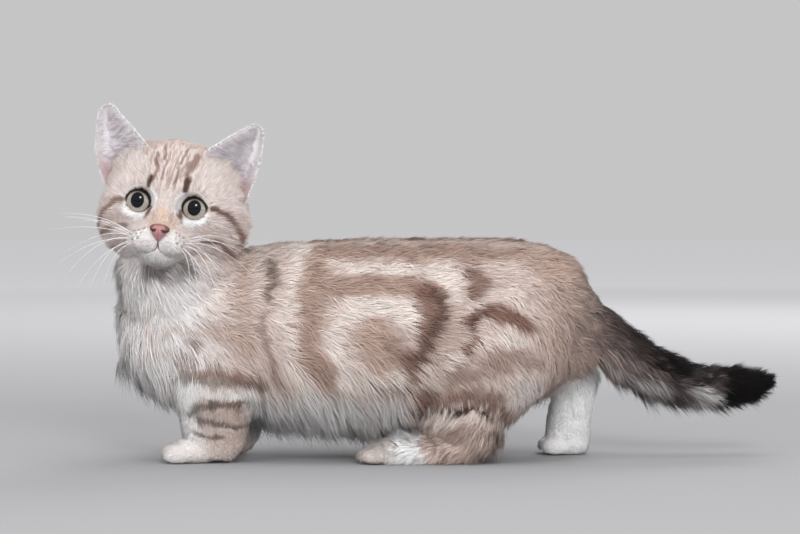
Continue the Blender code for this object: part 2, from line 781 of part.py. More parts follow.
def build():
    clear_scene()
    body = torso()
    skull = head()
    eyes = [eye(side, name) for side, name in ((1, "eye_left"), (-1, "eye_right"))]
    rims = [lids(side, name) for side, name in ((1, "eyelids_left"), (-1, "eyelids_right"))]
    muzzle = nose()
    pads = [
        whisker_pad(side, name)
        for side, name in ((1, "whisker_pad_left"), (-1, "whisker_pad_right"))
    ]
    ears = [ear(side, name) for side, name in ((1, "ear_left"), (-1, "ear_right"))]
    legs = [
        front_leg(-1, "front_leg_left", 0.0),
        front_leg(1, "front_leg_right", 5.0),
        hind_leg_near("hind_leg_left"),
        hind_leg_far("hind_leg_right"),
    ]
    collar = neck()
    plume = tail()

    combine(collar, bib_locks(), "UNION")
    combine(plume, tail_locks(), "UNION")
    combine(muzzle, [nostril(side) for side in (1, -1)], "DIFFERENCE")
    for limb in legs:
        cut_floor(limb)
        combine(limb, [copy_grown(body, "body_cutter", GAP)], "DIFFERENCE")
    combine(plume, [copy_grown(body, "body_cutter", GAP)], "DIFFERENCE")
    combine(plume, [copy_grown(legs[3], "leg_cutter", GAP)], "DIFFERENCE")
    bib = chest_locks()
    cutters = [copy_grown(piece, "cutter", GAP) for piece in (body, skull, *bib)]
    combine(collar, cutters, "DIFFERENCE")
    for flap in ears:
        combine(flap, [copy_grown(skull, "skull_cutter", GAP)], "DIFFERENCE")
    for side, rim, ball in zip((1, -1), rims, eyes):
        combine(rim, [eye(side, "ball_cutter", GAP)], "DIFFERENCE")
    combine(body, [copy_grown(skull, "skull_cutter", GAP)], "DIFFERENCE")
    for lip in pads:
        combine(lip, [nose(GAP)], "DIFFERENCE")
    combine(
        skull,
        [
            nose(GAP),
            *(eye(side, "ball_cutter", GAP) for side in (1, -1)),
            *(lids(side, "rim_cutter", GAP) for side in (1, -1)),
            *(pad(side, "pad_cutter", GAP) for side in (1, -1)),
        ],
        "DIFFERENCE",
    )
    combine(skull, mouth_cutters(), "DIFFERENCE")
    combine(body, [*belly_locks(), *bib], "UNION")
    split_tail(plume)
    finish_nodes()


def split_tail(plume):
    """Divides the tail into three lengths with thin cuts."""
    low, high = -300.0, 300.0
    starts = (low, *(cut + GAP / 2 for cut in TAIL_CUTS))
    ends = (*(cut - GAP / 2 for cut in TAIL_CUTS), high)
    for name, start, end in zip(("tail_base", "tail_middle", "tail_tip"), starts, ends):
        made = bpy.data.objects.new(name, plume.data.copy())
        bpy.context.scene.collection.objects.link(made)
        keep = object_from("keep", box((start, low, low), (end, high, high)))
        combine(made, [keep], "INTERSECT")
    bpy.data.objects.remove(plume)


MATERIALS = {
    "coat": ((0.62, 0.53, 0.47), 0.9),
    "pale_coat": ((0.80, 0.77, 0.74), 0.9),
    "dark_coat": ((0.16, 0.13, 0.12), 0.9),
    "ear_skin": ((0.80, 0.72, 0.71), 0.7),
    "eye": ((0.42, 0.45, 0.36), 0.1),
    "lid": ((0.09, 0.06, 0.05), 0.5),
    "nose": ((0.66, 0.38, 0.38), 0.5),
}
FINISH = {
    "ear": "ear_skin",
    "eye": "eye",
    "eyelids": "lid",
    "nose": "nose",
    "tail_tip": "dark_coat",
    "tail": "coat",
    "whisker": "pale_coat",
}


def finish_nodes():
    """Moves every piece so that the box stands centred on the origin, and gives it its material."""
    made = {name: make_material(name, *values) for name, values in MATERIALS.items()}
    for item in bpy.context.scene.collection.objects:
        item.data.transform(Matrix.Translation(Vector(SHIFT) * MM))
        finish = next(
            (FINISH[key] for key in sorted(FINISH, key=len, reverse=True) if item.name.startswith(key)),
            "coat",
        )
        item.data.materials.clear()
        item.data.materials.append(made[finish])
        item.data.shade_smooth()
        item.data.set_sharp_from_angle(angle=np.radians(50))


build()
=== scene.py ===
import math

import bpy
import numpy as np
from mathutils import Matrix, Vector
from mathutils.kdtree import KDTree


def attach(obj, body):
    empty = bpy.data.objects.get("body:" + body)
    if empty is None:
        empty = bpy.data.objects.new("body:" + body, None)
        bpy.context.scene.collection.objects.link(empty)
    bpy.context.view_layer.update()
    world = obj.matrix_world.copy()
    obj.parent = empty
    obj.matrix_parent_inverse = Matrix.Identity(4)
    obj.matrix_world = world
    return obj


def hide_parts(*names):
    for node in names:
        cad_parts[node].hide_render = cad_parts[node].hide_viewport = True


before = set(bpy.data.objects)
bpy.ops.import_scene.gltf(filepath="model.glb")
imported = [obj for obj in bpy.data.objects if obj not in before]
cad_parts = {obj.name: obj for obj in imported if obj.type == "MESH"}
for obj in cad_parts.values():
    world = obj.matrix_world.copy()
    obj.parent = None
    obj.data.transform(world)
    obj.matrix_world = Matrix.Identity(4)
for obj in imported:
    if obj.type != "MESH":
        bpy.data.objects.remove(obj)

for leftover in ("Cube", "Camera", "Light"):
    if leftover in bpy.data.objects:
        bpy.data.objects.remove(bpy.data.objects[leftover])
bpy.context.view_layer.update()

# A munchkin kitten: one skin, a coat of solid tufts, and the parts of the face as pieces of their own.
# Lengths are in millimetres here, and meshes are made in metres.

mm = 0.001
pose = {
    "shift": (11.0, 6.0, 0.0),  # from the drawing's origin to the middle of the whole box
    "eyeMiddle": (-151.6, -46.0, 147.1),
    "yaw": -1.5,
    "pitch": -2.0,
    "roll": 8.0,
}
shift = np.array(pose["shift"])
headTurn = (
    Matrix.Rotation(math.radians(pose["yaw"]), 4, "Z")
    @ Matrix.Rotation(math.radians(pose["pitch"]), 4, "X")
    @ Matrix.Rotation(math.radians(pose["roll"]), 4, "Y")
)
headFrame = np.array(Matrix.Translation(pose["eyeMiddle"]) @ headTurn)
headBack = np.linalg.inv(headFrame)
headAxes = headFrame[:3, :3]
bothSides = ((1, "left"), (-1, "right"))


def fromHead(points):
    return np.asarray(points) @ headAxes.T + headFrame[:3, 3]


def toHead(points):
    return np.asarray(points) @ headBack[:3, :3].T + headBack[:3, 3]


def unit(vectors):
    return vectors / np.maximum(np.linalg.norm(vectors, axis=-1, keepdims=True), 1e-9)


def smoothStep(value, low, high):
    share = np.clip((value - low) / (high - low), 0, 1)
    return share * share * (3 - 2 * share)


def stepDown(value, low, high):
    return 1 - smoothStep(value, low, high)


def bell(value, width):
    return np.exp(-((value / width) ** 2))


def spline(rows, steps):
    rows = np.array(rows, float)
    padded = np.vstack([2 * rows[0] - rows[1], rows, 2 * rows[-1] - rows[-2]])
    made = []
    for k in range(len(rows) - 1):
        a, b, c, d = padded[k : k + 4]
        for t in np.arange(steps) / steps:
            made.append(
                0.5 * (2 * b + (c - a) * t + (2 * a - 5 * b + 4 * c - d) * t**2)
                + 0.5 * (3 * b - a - 3 * c + d) * t**3
            )
    made.append(rows[-1])
    return np.array(made)


def ripple(points, size, seed, terms=14):
    # smooth noise
    chance = np.random.default_rng(seed)
    total = np.zeros(len(points))
    for _ in range(terms):
        way = chance.normal(size=3)
        way *= chance.uniform(0.6, 1.6) / np.linalg.norm(way) * 2 * np.pi / size
        total += np.sin(points @ way + chance.uniform(0, 6.28))
    return total / math.sqrt(terms / 2)


def ripples(points, *kinds):
    return np.stack([ripple(points, size, seed) for size, seed in kinds], axis=1)


def lineDistance(places, line):
    line = np.array(line, float)
    best = np.full(len(places), 1e9)
    for a, b in zip(line[:-1], line[1:]):
        share = np.clip(((places - a) @ (b - a)) / np.dot(b - a, b - a), 0, 1)
        best = np.minimum(best, np.linalg.norm(places - (a + share[:, None] * (b - a)), axis=1))
    return best


def nearestIndex(points, among):
    tree = KDTree(len(among))
    for k, one in enumerate(among):
        tree.insert(one, k)
    tree.balance()
    return np.array([tree.find(point)[1] for point in points])


def newPiece(name, points, faces):
    mesh = bpy.data.meshes.new(name)
    mesh.from_pydata((np.asarray(points, float) * mm).tolist(), [], faces)
    made = bpy.data.objects.new(name, mesh)
    bpy.context.scene.collection.objects.link(made)
    return made


def choose(*items):
    bpy.ops.object.select_all(action="DESELECT")
    for item in items:
        item.select_set(True)
    bpy.context.view_layer.objects.active = items[0]


def primitive(name, kind, **settings):
    bpy.ops.object.select_all(action="DESELECT")
    getattr(bpy.ops.mesh, "primitive_" + kind + "_add")(radius=1.0, **settings)
    made = bpy.context.object
    made.name = name
    return made


def modify(item, kind, **settings):
    choose(item)
    step = item.modifiers.new(kind, kind)
    for key, value in settings.items():
        setattr(step, key, value)
    bpy.ops.object.modifier_apply(modifier=step.name)


def joinPieces(items, name):
    choose(*items)
    if len(items) > 1:
        bpy.ops.object.join()
    items[0].name = name
    return items[0]


def solidPiece(name, points, faces):
    made = newPiece(name, points, faces)
    choose(made)
    bpy.ops.object.mode_set(mode="EDIT")
    bpy.ops.mesh.select_all(action="SELECT")
    bpy.ops.mesh.remove_doubles(threshold=1e-6)
    bpy.ops.mesh.normals_make_consistent(inside=False)
    bpy.ops.object.mode_set(mode="OBJECT")
    return made


def readRows(rows, key, width, kind=np.float32):
    flat = np.empty(len(rows) * width, kind)
    rows.foreach_get(key, flat)
    return flat.reshape(-1, width)


def pointsOf(item):
    return readRows(item.data.vertices, "co", 3).astype(float) / mm


def setPoints(item, points):
    item.data.vertices.foreach_set("co", (np.asarray(points) * mm).astype(np.float32).ravel())
    item.data.update()


def putColour(item, colours):
    layer = item.data.color_attributes.new("marking", "FLOAT_COLOR", "POINT")
    rows = np.ones((len(colours), 4), np.float32)
    rows[:, :3] = colours
    layer.data.foreach_set("color", rows.ravel())


# Skin: sections of the body under the coat, the same as the solids but smaller by the coat's depth

torsoSections = [
    (-181, 90, 68, 13),
    (-176, 102, 59, 24),
    (-168, 111, 47, 33),
    (-155, 117, 37, 40),
    (-138, 121, 31, 44),
    (-115, 124, 25, 47),
    (-90, 127, 20.5, 50),
    (-60, 128.5, 17.5, 52),
    (-30, 129.5, 18, 53),
    (0, 129.5, 23, 52),
    (25, 129.8, 27, 49),
    (50, 129, 32, 45),
    (66, 124, 38, 40),
    (81, 110.5, 46, 31),
    (92, 97, 57, 20),
    (97, 84, 69, 9),
]
neckSections = [
    (-141, 0, 66, 22, 26),
    (-143, -2, 84, 34, 35),
    (-145, -6, 98, 38, 36),
    (-147, -10, 112, 37, 34),
    (-148, -14, 126, 33, 32),
    (-149, -16, 140, 22, 24),
]
tailSections = [
    (72, 0, 92, 12),
    (82, 0, 83.5, 17.5),
    (94, 0, 72.5, 18),
    (107, 1, 61.5, 17.3),
    (124, 3, 50.8, 16.6),
    (141, 6, 44.4, 15.4),
    (154, 8, 41.4, 14.6),
    (166, 10, 40.3, 14.2),
    (178, 12, 40.4, 13.2),
    (189, 13, 42.0, 11.4),
    (196, 14, 43.8, 8.4),
    (200, 14, 44.6, 3.5),
]
skinSize = {
    "torsoDepth": 3.6,
    "neckDepth": 4.0,
    "tailDepth": 5.0,
    "legDepth": 1.5,
    "pawDepth": 0.9,
    "headDepth": 1.5,
    "legSpacing": 26.0,
    "voxel": 1.5,
    "smoothing": 5,
    "headDetail": 6,
    "frontCrowding": 0.5,  # gathers the head's points towards the face
}


def ringFaces(count, sides, closed=False):
    faces = []
    for i in range(count if closed else count - 1):
        after = (i + 1) % count
        for k in range(sides):
            beside = (k + 1) % sides
            faces.append((i * sides + k, i * sides + beside, after * sides + beside, after * sides + k))
    return faces


def tube(name, rings, up, sides=48, squareness=2.0):
    rings = np.array(rings, float)
    along = unit(np.gradient(rings[:, :3], axis=0))
    angles = np.linspace(0, 2 * np.pi, sides, endpoint=False)
    power = 2 / squareness
    rise = np.sign(np.sin(angles)) * np.abs(np.sin(angles)) ** power
    reach = np.sign(np.cos(angles)) * np.abs(np.cos(angles)) ** power
    points = []
    for (x, y, z, above, below, side), way in zip(rings, along):
        upWay = unit(np.array(up, float) - np.dot(up, way) * way)
        sideWay = np.cross(way, upWay)
        lift = np.where(rise > 0, above, below) * rise
        points.append(np.array((x, y, z)) + np.outer(lift, upWay) + np.outer(reach * side, sideWay))
    count = len(rings)
    points = np.vstack([*points, rings[:1, :3], rings[-1:, :3]])
    faces = ringFaces(count, sides)
    last = (count - 1) * sides
    for k in range(sides):
        beside = (k + 1) % sides
        faces.append((beside, k, count * sides))
        faces.append((last + k, last + beside, count * sides + 1))
    return solidPiece(name, points, faces)


def ball(name, centre, radii, turn=0.0):
    made = primitive(name, "ico_sphere", subdivisions=4)
    turned = np.array(Matrix.Rotation(math.radians(turn), 3, "Y"))
    setPoints(made, pointsOf(made) * mm * np.array(radii) @ turned.T + np.array(centre))
    return made


def paw(x, y, length=20.0, height=1.0):
    less = skinSize["pawDepth"]
    made = [ball("paw", (x + 4, y, 6.8 * height), (length * 0.80 - less, 12.5 - less, 9 * height - less))]
    for k, side in enumerate((-10.2, -3.6, 3.6, 10.2)):
        reach = 1.0 if k in (1, 2) else 0.80
        centre = (x + 4 - length * 0.60 * reach, y + side, 5.6 * height)
        made.append(ball("toe", centre, (8.4 - less, 4.9 - less, 6.4 * height - less)))
    return made


def limb(name, stations, up=(1, 0, 0.25)):
    less = skinSize["legDepth"]
    rings = [(x, y, z, a - less, a - less, b - less) for x, y, z, a, b in spline(stations, 3)]
    return tube(name, rings, up, sides=32)


def frontLeg(side, offset):
    y = side * skinSize["legSpacing"]
    stations = [
        (-118 + offset, 0.72 * y, 96, 12, 9),
        (-121 + offset, 0.86 * y, 86, 21, 15),
        (-123 + offset, 0.98 * y, 68, 26, 18),
        (-124 + offset, 1.06 * y, 50, 27.5, 18.5),
        (-125 + offset, 1.08 * y, 38, 25.5, 17),
        (-125.5 + offset, 1.05 * y, 25, 21.5, 14.5),
        (-126 + offset, y, 14, 19.5, 13),
        (-128.5 + offset, y, 5, 14.5, 12),
    ]
    return [limb("frontLeg", stations), *paw(-141 + offset, y)]


def hindLegForward():
    y = -skinSize["legSpacing"]
    less = skinSize["legDepth"] + 1.5
    thigh = ball("thigh", (38, 1.08 * y, 64), (36 - less, 25 - less, 50 - less), 38)
    shank = [
        (22, 1.10 * y, 56, 14, 12),
        (9, 1.20 * y, 42, 20, 15),
        (17, 1.24 * y, 30, 20, 14),
        (25, 1.22 * y, 19, 14, 12),
        (22, 1.18 * y, 11, 10.5, 10),
    ]
    foot = [
        (25, 1.15 * y, 9, 5, 5, 6),
        (20, 1.15 * y, 8.5, 8.5, 9.5, 9.5),
        (6, 1.15 * y, 7.0, 8.0, 8, 10.5),
        (-12, 1.16 * y, 6.5, 7.5, 7.5, 11.0),
        (-26, 1.16 * y, 6.0, 6.0, 7.0, 9.5),
    ]
    rings = [(*row[:3], *(row[3:] - skinSize["pawDepth"])) for row in spline(foot, 3)]
    return [
        thigh,
        limb("shank", shank, (1, 0, 0.3)),
        tube("foot", rings, (0, 0, 1), sides=28),
        *paw(-30.5, 1.16 * y, 19.0, 0.82),
    ]


def hindLegUpright():
    y = skinSize["legSpacing"]
    less = skinSize["legDepth"] + 1.5
    thigh = ball("thigh", (50, 1.08 * y, 66), (33 - less, 24 - less, 44 - less), 20)
    shank = [
        (44, 1.1 * y, 62, 14, 12),
        (58, 1.1 * y, 53, 18, 14),
        (76, 1.1 * y, 50, 16, 13),
        (83, 1.06 * y, 45, 14.5, 12),
        (82, y, 36, 14.0, 12),
        (80, y, 24, 14.0, 12),
        (79, y, 12, 14.5, 12.5),
        (78, y, 4, 13.5, 12.0),
    ]
    return [thigh, limb("shank", shank, (0.8, 0, 0.6)), *paw(75, y, 17.0)]


def torso():
    inset = skinSize["torsoDepth"]
    rings = []
    for x, top, bottom, halfWidth in spline(torsoSections, 5):
        waist = bottom + 0.46 * (top - bottom)
        rings.append((x, 0, waist, top - waist - inset, waist - bottom - inset, halfWidth - inset))
    rings[0] = (rings[0][0] + inset, *rings[0][1:3], 6, 6, 7)
    rings[-1] = (rings[-1][0] - inset, *rings[-1][1:3], 4, 4, 5)
    return [tube("torso", rings, (0, 0, 1), 72, 2.15)]


def neck():
    inset = skinSize["neckDepth"]
    rings = [(x, y, z, a - inset, a - inset, b - inset) for x, y, z, a, b in spline(neckSections, 4)]
    return [tube("neck", rings, (1, 0, 0), 56, 2.1)]


def tail():
    rings = []
    for x, y, z, r in spline(tailSections[:-1], 4):
        r = max(r - skinSize["tailDepth"], 1.5)
        rings.append((x, y, z, r, r, 0.92 * r))
    return [tube("tail", rings, (0, 0, 1), 36)]


headSize = {
    # soft masses under the coat of the head: centre and radii in the head's own frame
    "masses": [
        ((0.3, 31, 6.5), (36.9, 35.5, 32.5), 1.0),
        ((22.8, 25, -6.5), (21.6, 23, 22.5), 1.2),
        ((-20.4, 25, -8.2), (20.2, 23, 23.4), 1.2),
        ((0, 18, -19), (23, 25, 15), 1.2),
        ((7.8, -0.6, -20.6), (9.4, 8.6, 7.6), 0.6),
        ((-7.8, -0.6, -20.6), (9.4, 8.6, 7.6), 0.6),
        ((0, 0.5, -4), (6.5, 8.5, 9), 0.6),
        ((0, -4.2, -11), (5.6, 7.4, 6.2), 0.6),
        ((0, -1.6, -29.2), (8.5, 8.5, 5.4), 0.6),
    ],
    "pads": [((8.0, -4.8, -21.2), (10.2, 9.4, 7.7)), ((-8.0, -4.8, -21.2), (10.2, 9.4, 7.7))],
    "padDepth": 0.8,
    "blend": 3.0,
    "centre": (0, 24, -4),
    "eyeSpacing": 15.9,
    "eyeDepth": 7.6,
    "eyeRadius": 8.6,
    "lidRadius": 9.6,
    "socketDepth": -3.9,
    "socketRadius": 9.25,
}
mouthLine = [(0, -18.5), (0, -22.5), (0.9, -25.8), (3.6, -27.9), (7.0, -28.9)]


def ellipsoidDistance(points, centre, radii):
    offset = points - np.array(centre, float)
    scaled = np.linalg.norm(offset / radii, axis=-1)
    steepness = np.linalg.norm(offset / np.square(radii), axis=-1)
    return scaled * (scaled - 1) / np.maximum(steepness, 1e-6)


def softMeet(first, second, softness):
    return -softness * np.logaddexp(-first / softness, -second / softness)


def headField(points):
    size = headSize
    near = 0.0
    for centre, radii, share in size["masses"]:
        radii = np.array(radii) - skinSize["headDepth"] * share
        near = near + np.exp(-ellipsoidDistance(points, centre, radii) / size["blend"])
    field = -size["blend"] * np.log(near)
    for centre, radii in size["pads"]:
        radii = np.array(radii) - size["padDepth"]
        field = softMeet(field, ellipsoidDistance(points, centre, radii), 0.7)
    for side in (-1, 1):
        eye = np.array((side * size["eyeSpacing"], size["eyeDepth"], 0.0))
        lid = np.linalg.norm((points - eye) / (1.03, 1.0, 0.98), axis=-1) - size["lidRadius"]
        field = softMeet(field, lid, 1.4)
    for side in (-1, 1):
        socket = np.array((side * size["eyeSpacing"], size["socketDepth"], 0.0))
        offset = (points - socket) / (1.04, 1.0, 0.97)
        corner = np.exp(-(((offset[..., 0] + side * 7.4) / 1.6) ** 2 + ((offset[..., 2] + 2.6) / 1.2) ** 2))
        hollow = size["socketRadius"] + 0.9 * corner - np.linalg.norm(offset, axis=-1)
        field = -softMeet(-field, -hollow, 0.35)
    return field


def headSkin():
    made = primitive("headSkin", "ico_sphere", subdivisions=skinSize["headDetail"])
    ways = unit(unit(pointsOf(made)) + np.array((0, -skinSize["frontCrowding"], 0)))
    centre = np.array(headSize["centre"])
    reach = np.full(len(ways), 75.0)
    for _ in range(80):
        reach = reach - 0.6 * headField(centre + ways * reach[:, None])
    points = centre + ways * reach[:, None]
    # the line under the nose and the mouth, pressed in
    line = spline([*mouthLine, (10.5, -28.6)], 4)
    flat = np.stack([np.abs(points[:, 0]), points[:, 2]], axis=1)
    distance = np.min(np.linalg.norm(flat[:, None] - line[None], axis=2), axis=1)
    press = 1.5 * bell(distance, 0.75) * (points[:, 1] < 4)
    setPoints(made, fromHead(points - ways * press[:, None]))
    return made


print("skin: sections of the body")
sources = {
    "torso": torso(),
    "neck": neck(),
    "tail": tail(),
    "frontLegLeft": frontLeg(-1, 0.0),
    "frontLegRight": frontLeg(1, 5.0),
    "hindLegLeft": hindLegForward(),
    "hindLegRight": hindLegUpright(),
    "head": [headSkin()],
}
partNames = list(sources)
partPoints = [np.vstack([pointsOf(item) for item in group]) for group in sources.values()]
labels = np.repeat(np.arange(len(partPoints)), [len(group) for group in partPoints])
labelPoints = np.vstack(partPoints)


def among(part, *names):
    return np.isin(part, [partNames.index(name) for name in names])


print("skin: melting the body into one surface")
head = sources.pop("head")[0]
skin = joinPieces([item for group in sources.values() for item in group], "skin")
modify(skin, "REMESH", mode="VOXEL", voxel_size=skinSize["voxel"] * mm)
modify(skin, "SMOOTH", factor=0.5, iterations=skinSize["smoothing"])
modify(skin, "BOOLEAN", operation="UNION", object=head, solver="MANIFOLD")
bpy.data.objects.remove(head)
points = pointsOf(skin)
points[:, 2] = np.maximum(points[:, 2], 0.3)
setPoints(skin, points)
modify(skin, "TRIANGULATE")
print("skin triangles", len(skin.data.polygons))


# Markings: strokes in the photo's picture plane, laid on the body along the line of sight

cameraSize = {
    "aim": (-20.3, 0.0, 111.0),
    "distance": 1400.0,
    "below": 1.0,
    "pixel": 0.58,
    "middle": (400.0, 267.0),
}


def tone(*rgb):
    share = np.array(rgb, float) / 255
    return np.where(share <= 0.04045, share / 12.92, ((share + 0.055) / 1.055) ** 2.4)


def inPicture(points):
    sight = cameraSize
    depth = -np.abs(points[:, 1])
    nearness = sight["distance"] / (sight["distance"] + depth) / sight["pixel"]
    x = sight["middle"][0] + (points[:, 0] - sight["aim"][0]) * nearness
    rise = points[:, 2] - sight["aim"][2] + math.sin(math.radians(sight["below"])) * depth
    return np.stack([x, sight["middle"][1] - rise * nearness], axis=1)


furTone = {
    "flank": tone(206, 188, 180),
    "cream": tone(228, 216, 209),
    "white": tone(243, 240, 239),
    "belly": tone(216, 215, 214),
    "tan": tone(186, 162, 150),
    "brown": tone(132, 102, 90),
    "dark": tone(92, 70, 62),
    "black": tone(16, 13, 12),
    # grey: used only for painted shade and shadow, under the chin and in creases
    "grey": tone(92, 82, 80),
    "taupe": tone(98, 86, 84),
    "bridge": tone(222, 196, 178),
    "snow": tone(254, 253, 252),
    "rose": tone(230, 219, 217),
    "deep": tone(60, 44, 38),
}
bodyStrokes = [
    # paint, strength, half width, soft edge, then its line in the picture
    ("tan", 1.0, 12, 9, [(322, 247), (380, 248), (450, 247), (520, 247), (560, 268)]),
    ("brown", 0.3, 8, 9, [(330, 248), (380, 249), (450, 248), (520, 248)]),
    ("cream", 0.8, 5, 5, [(296, 240), (297, 262), (292, 290), (286, 330), (292, 375), (318, 398)]),
    ("tan", 0.7, 7, 6, [(250, 262), (240, 300), (246, 345)]),
    ("dark", 0.75, 4, 4, [(268, 262), (274, 282), (266, 300)]),
    ("tan", 1.0, 11, 5, [(318, 266), (312, 300), (311, 340), (321, 372), (341, 396)]),
    ("brown", 0.35, 6, 6, [(318, 268), (311, 300), (309, 340), (320, 372), (340, 394)]),
    ("tan", 0.9, 6, 7, [(340, 396), (370, 404), (404, 397)]),
    ("cream", 0.75, 6, 4, [(344, 272), (380, 267), (420, 272), (448, 272)]),
    ("tan", 1.0, 11, 5, [(322, 288), (350, 284), (400, 285), (430, 288)]),
    ("brown", 0.3, 8, 6, [(322, 288), (350, 284), (400, 285), (430, 288)]),
    ("brown", 0.9, 10, 6, [(426, 291), (433, 316), (427, 345), (411, 368), (394, 384)]),
    ("dark", 0.8, 5, 7, [(434, 295), (439, 320), (433, 344), (420, 362)]),
    ("cream", 1.0, 8, 5, [(343, 384), (336, 350), (340, 321), (356, 307), (396, 306), (413, 321)]),
    ("cream", 0.95, 7, 6, [(344, 383), (368, 387), (396, 379)]),
    ("tan", 1.0, 20, 8, [(376, 337), (382, 354)]),
    ("brown", 0.45, 9, 9, [(396, 345), (402, 360)]),
    ("tan", 0.7, 8, 6, [(456, 300), (456, 320), (450, 344), (442, 366)]),
    ("cream", 0.9, 6, 5, [(438, 276), (452, 281), (454, 298)]),
    ("cream", 0.9, 6, 5, [(446, 372), (472, 352), (498, 344), (526, 345)]),
    ("cream", 0.3, 6, 6, [(470, 306), (500, 292), (540, 306), (556, 340)]),
    ("brown", 0.85, 7, 5, [(474, 274), (482, 284), (476, 293)]),
    ("brown", 1.0, 6, 5, [(474, 322), (490, 311), (512, 314), (534, 330)]),
    ("dark", 0.7, 4, 4, [(476, 322), (489, 313)]),
    ("brown", 1.0, 6, 5, [(468, 354), (478, 342)]),
    ("brown", 0.6, 8, 6, [(450, 382), (482, 370), (515, 360), (532, 364)]),
    # painted shade: a brown band and dark lines along the lower edge of the near thigh, into the crease above
    # the foot
    ("brown", 0.85, 8, 7, [(420, 400), (450, 399), (488, 403), (505, 412)]),
    ("dark", 0.25, 5, 6, [(426, 403), (452, 402), (484, 404)]),
    ("deep", 0.95, 3.6, 2.5, [(414, 411), (446, 414), (474, 409), (494, 416)]),
    ("cream", 0.5, 3, 4, [(440, 425), (480, 423), (500, 432)]),
    ("brown", 0.6, 4, 5, [(430, 434), (470, 432), (496, 440)]),
    ("cream", 0.45, 7, 8, [(556, 300), (568, 322), (576, 350)]),
    # painted shade: a thin grey line in the crease between the thigh and the rump
    ("grey", 0.5, 1.6, 3, [(556, 318), (566, 342), (578, 362)]),
    ("belly", 0.5, 10, 8, [(528, 392), (556, 380), (574, 366)]),
    ("tan", 0.6, 8, 8, [(216, 330), (232, 338), (248, 348)]),
    # painted shade: a brown line down the crease behind the front leg
    ("brown", 0.7, 2.4, 4, [(262, 318), (266, 352), (274, 386)]),
    ("brown", 0.8, 3.4, 4, [(182, 374), (214, 374), (240, 379), (262, 388)]),
    ("brown", 0.9, 1.8, 2.5, [(174, 363), (186, 357), (200, 360)]),
    ("brown", 0.7, 1.4, 2.5, [(176, 352), (186, 343), (204, 347)]),
    ("tan", 0.55, 22, 8, [(222, 408), (222, 432)]),
    ("white", 0.7, 4.0, 3, [(184, 396), (220, 395), (256, 399)]),
    ("cream", 0.4, 1.6, 2.5, [(196, 430), (220, 432), (246, 430)]),
    ("deep", 0.6, 1.8, 3, [(174, 384), (190, 379), (214, 382), (238, 384), (262, 392)]),
    ("deep", 0.75, 2.4, 3.6, [(182, 414), (204, 410), (230, 407), (254, 406)]),
    ("deep", 0.75, 2.4, 3.6, [(198, 419), (216, 423), (236, 426), (252, 425)]),
    ("deep", 0.7, 1.8, 2.4, [(192, 437), (208, 439), (222, 441)]),
    ("white", 0.7, 4, 4, [(184, 396), (184, 420), (186, 440)]),
    # painted shadow: grey on the throat where the chin's shade falls
    ("grey", 0.8, 6, 9, [(147, 271), (164, 276), (188, 270)]),
    ("tan", 0.3, 3, 5, [(128, 318), (146, 320), (158, 312)]),
    ("tan", 0.65, 3, 4, [(150, 336), (176, 330), (206, 338)]),
    ("tan", 0.4, 3, 5, [(140, 356), (156, 350), (168, 356)]),
]
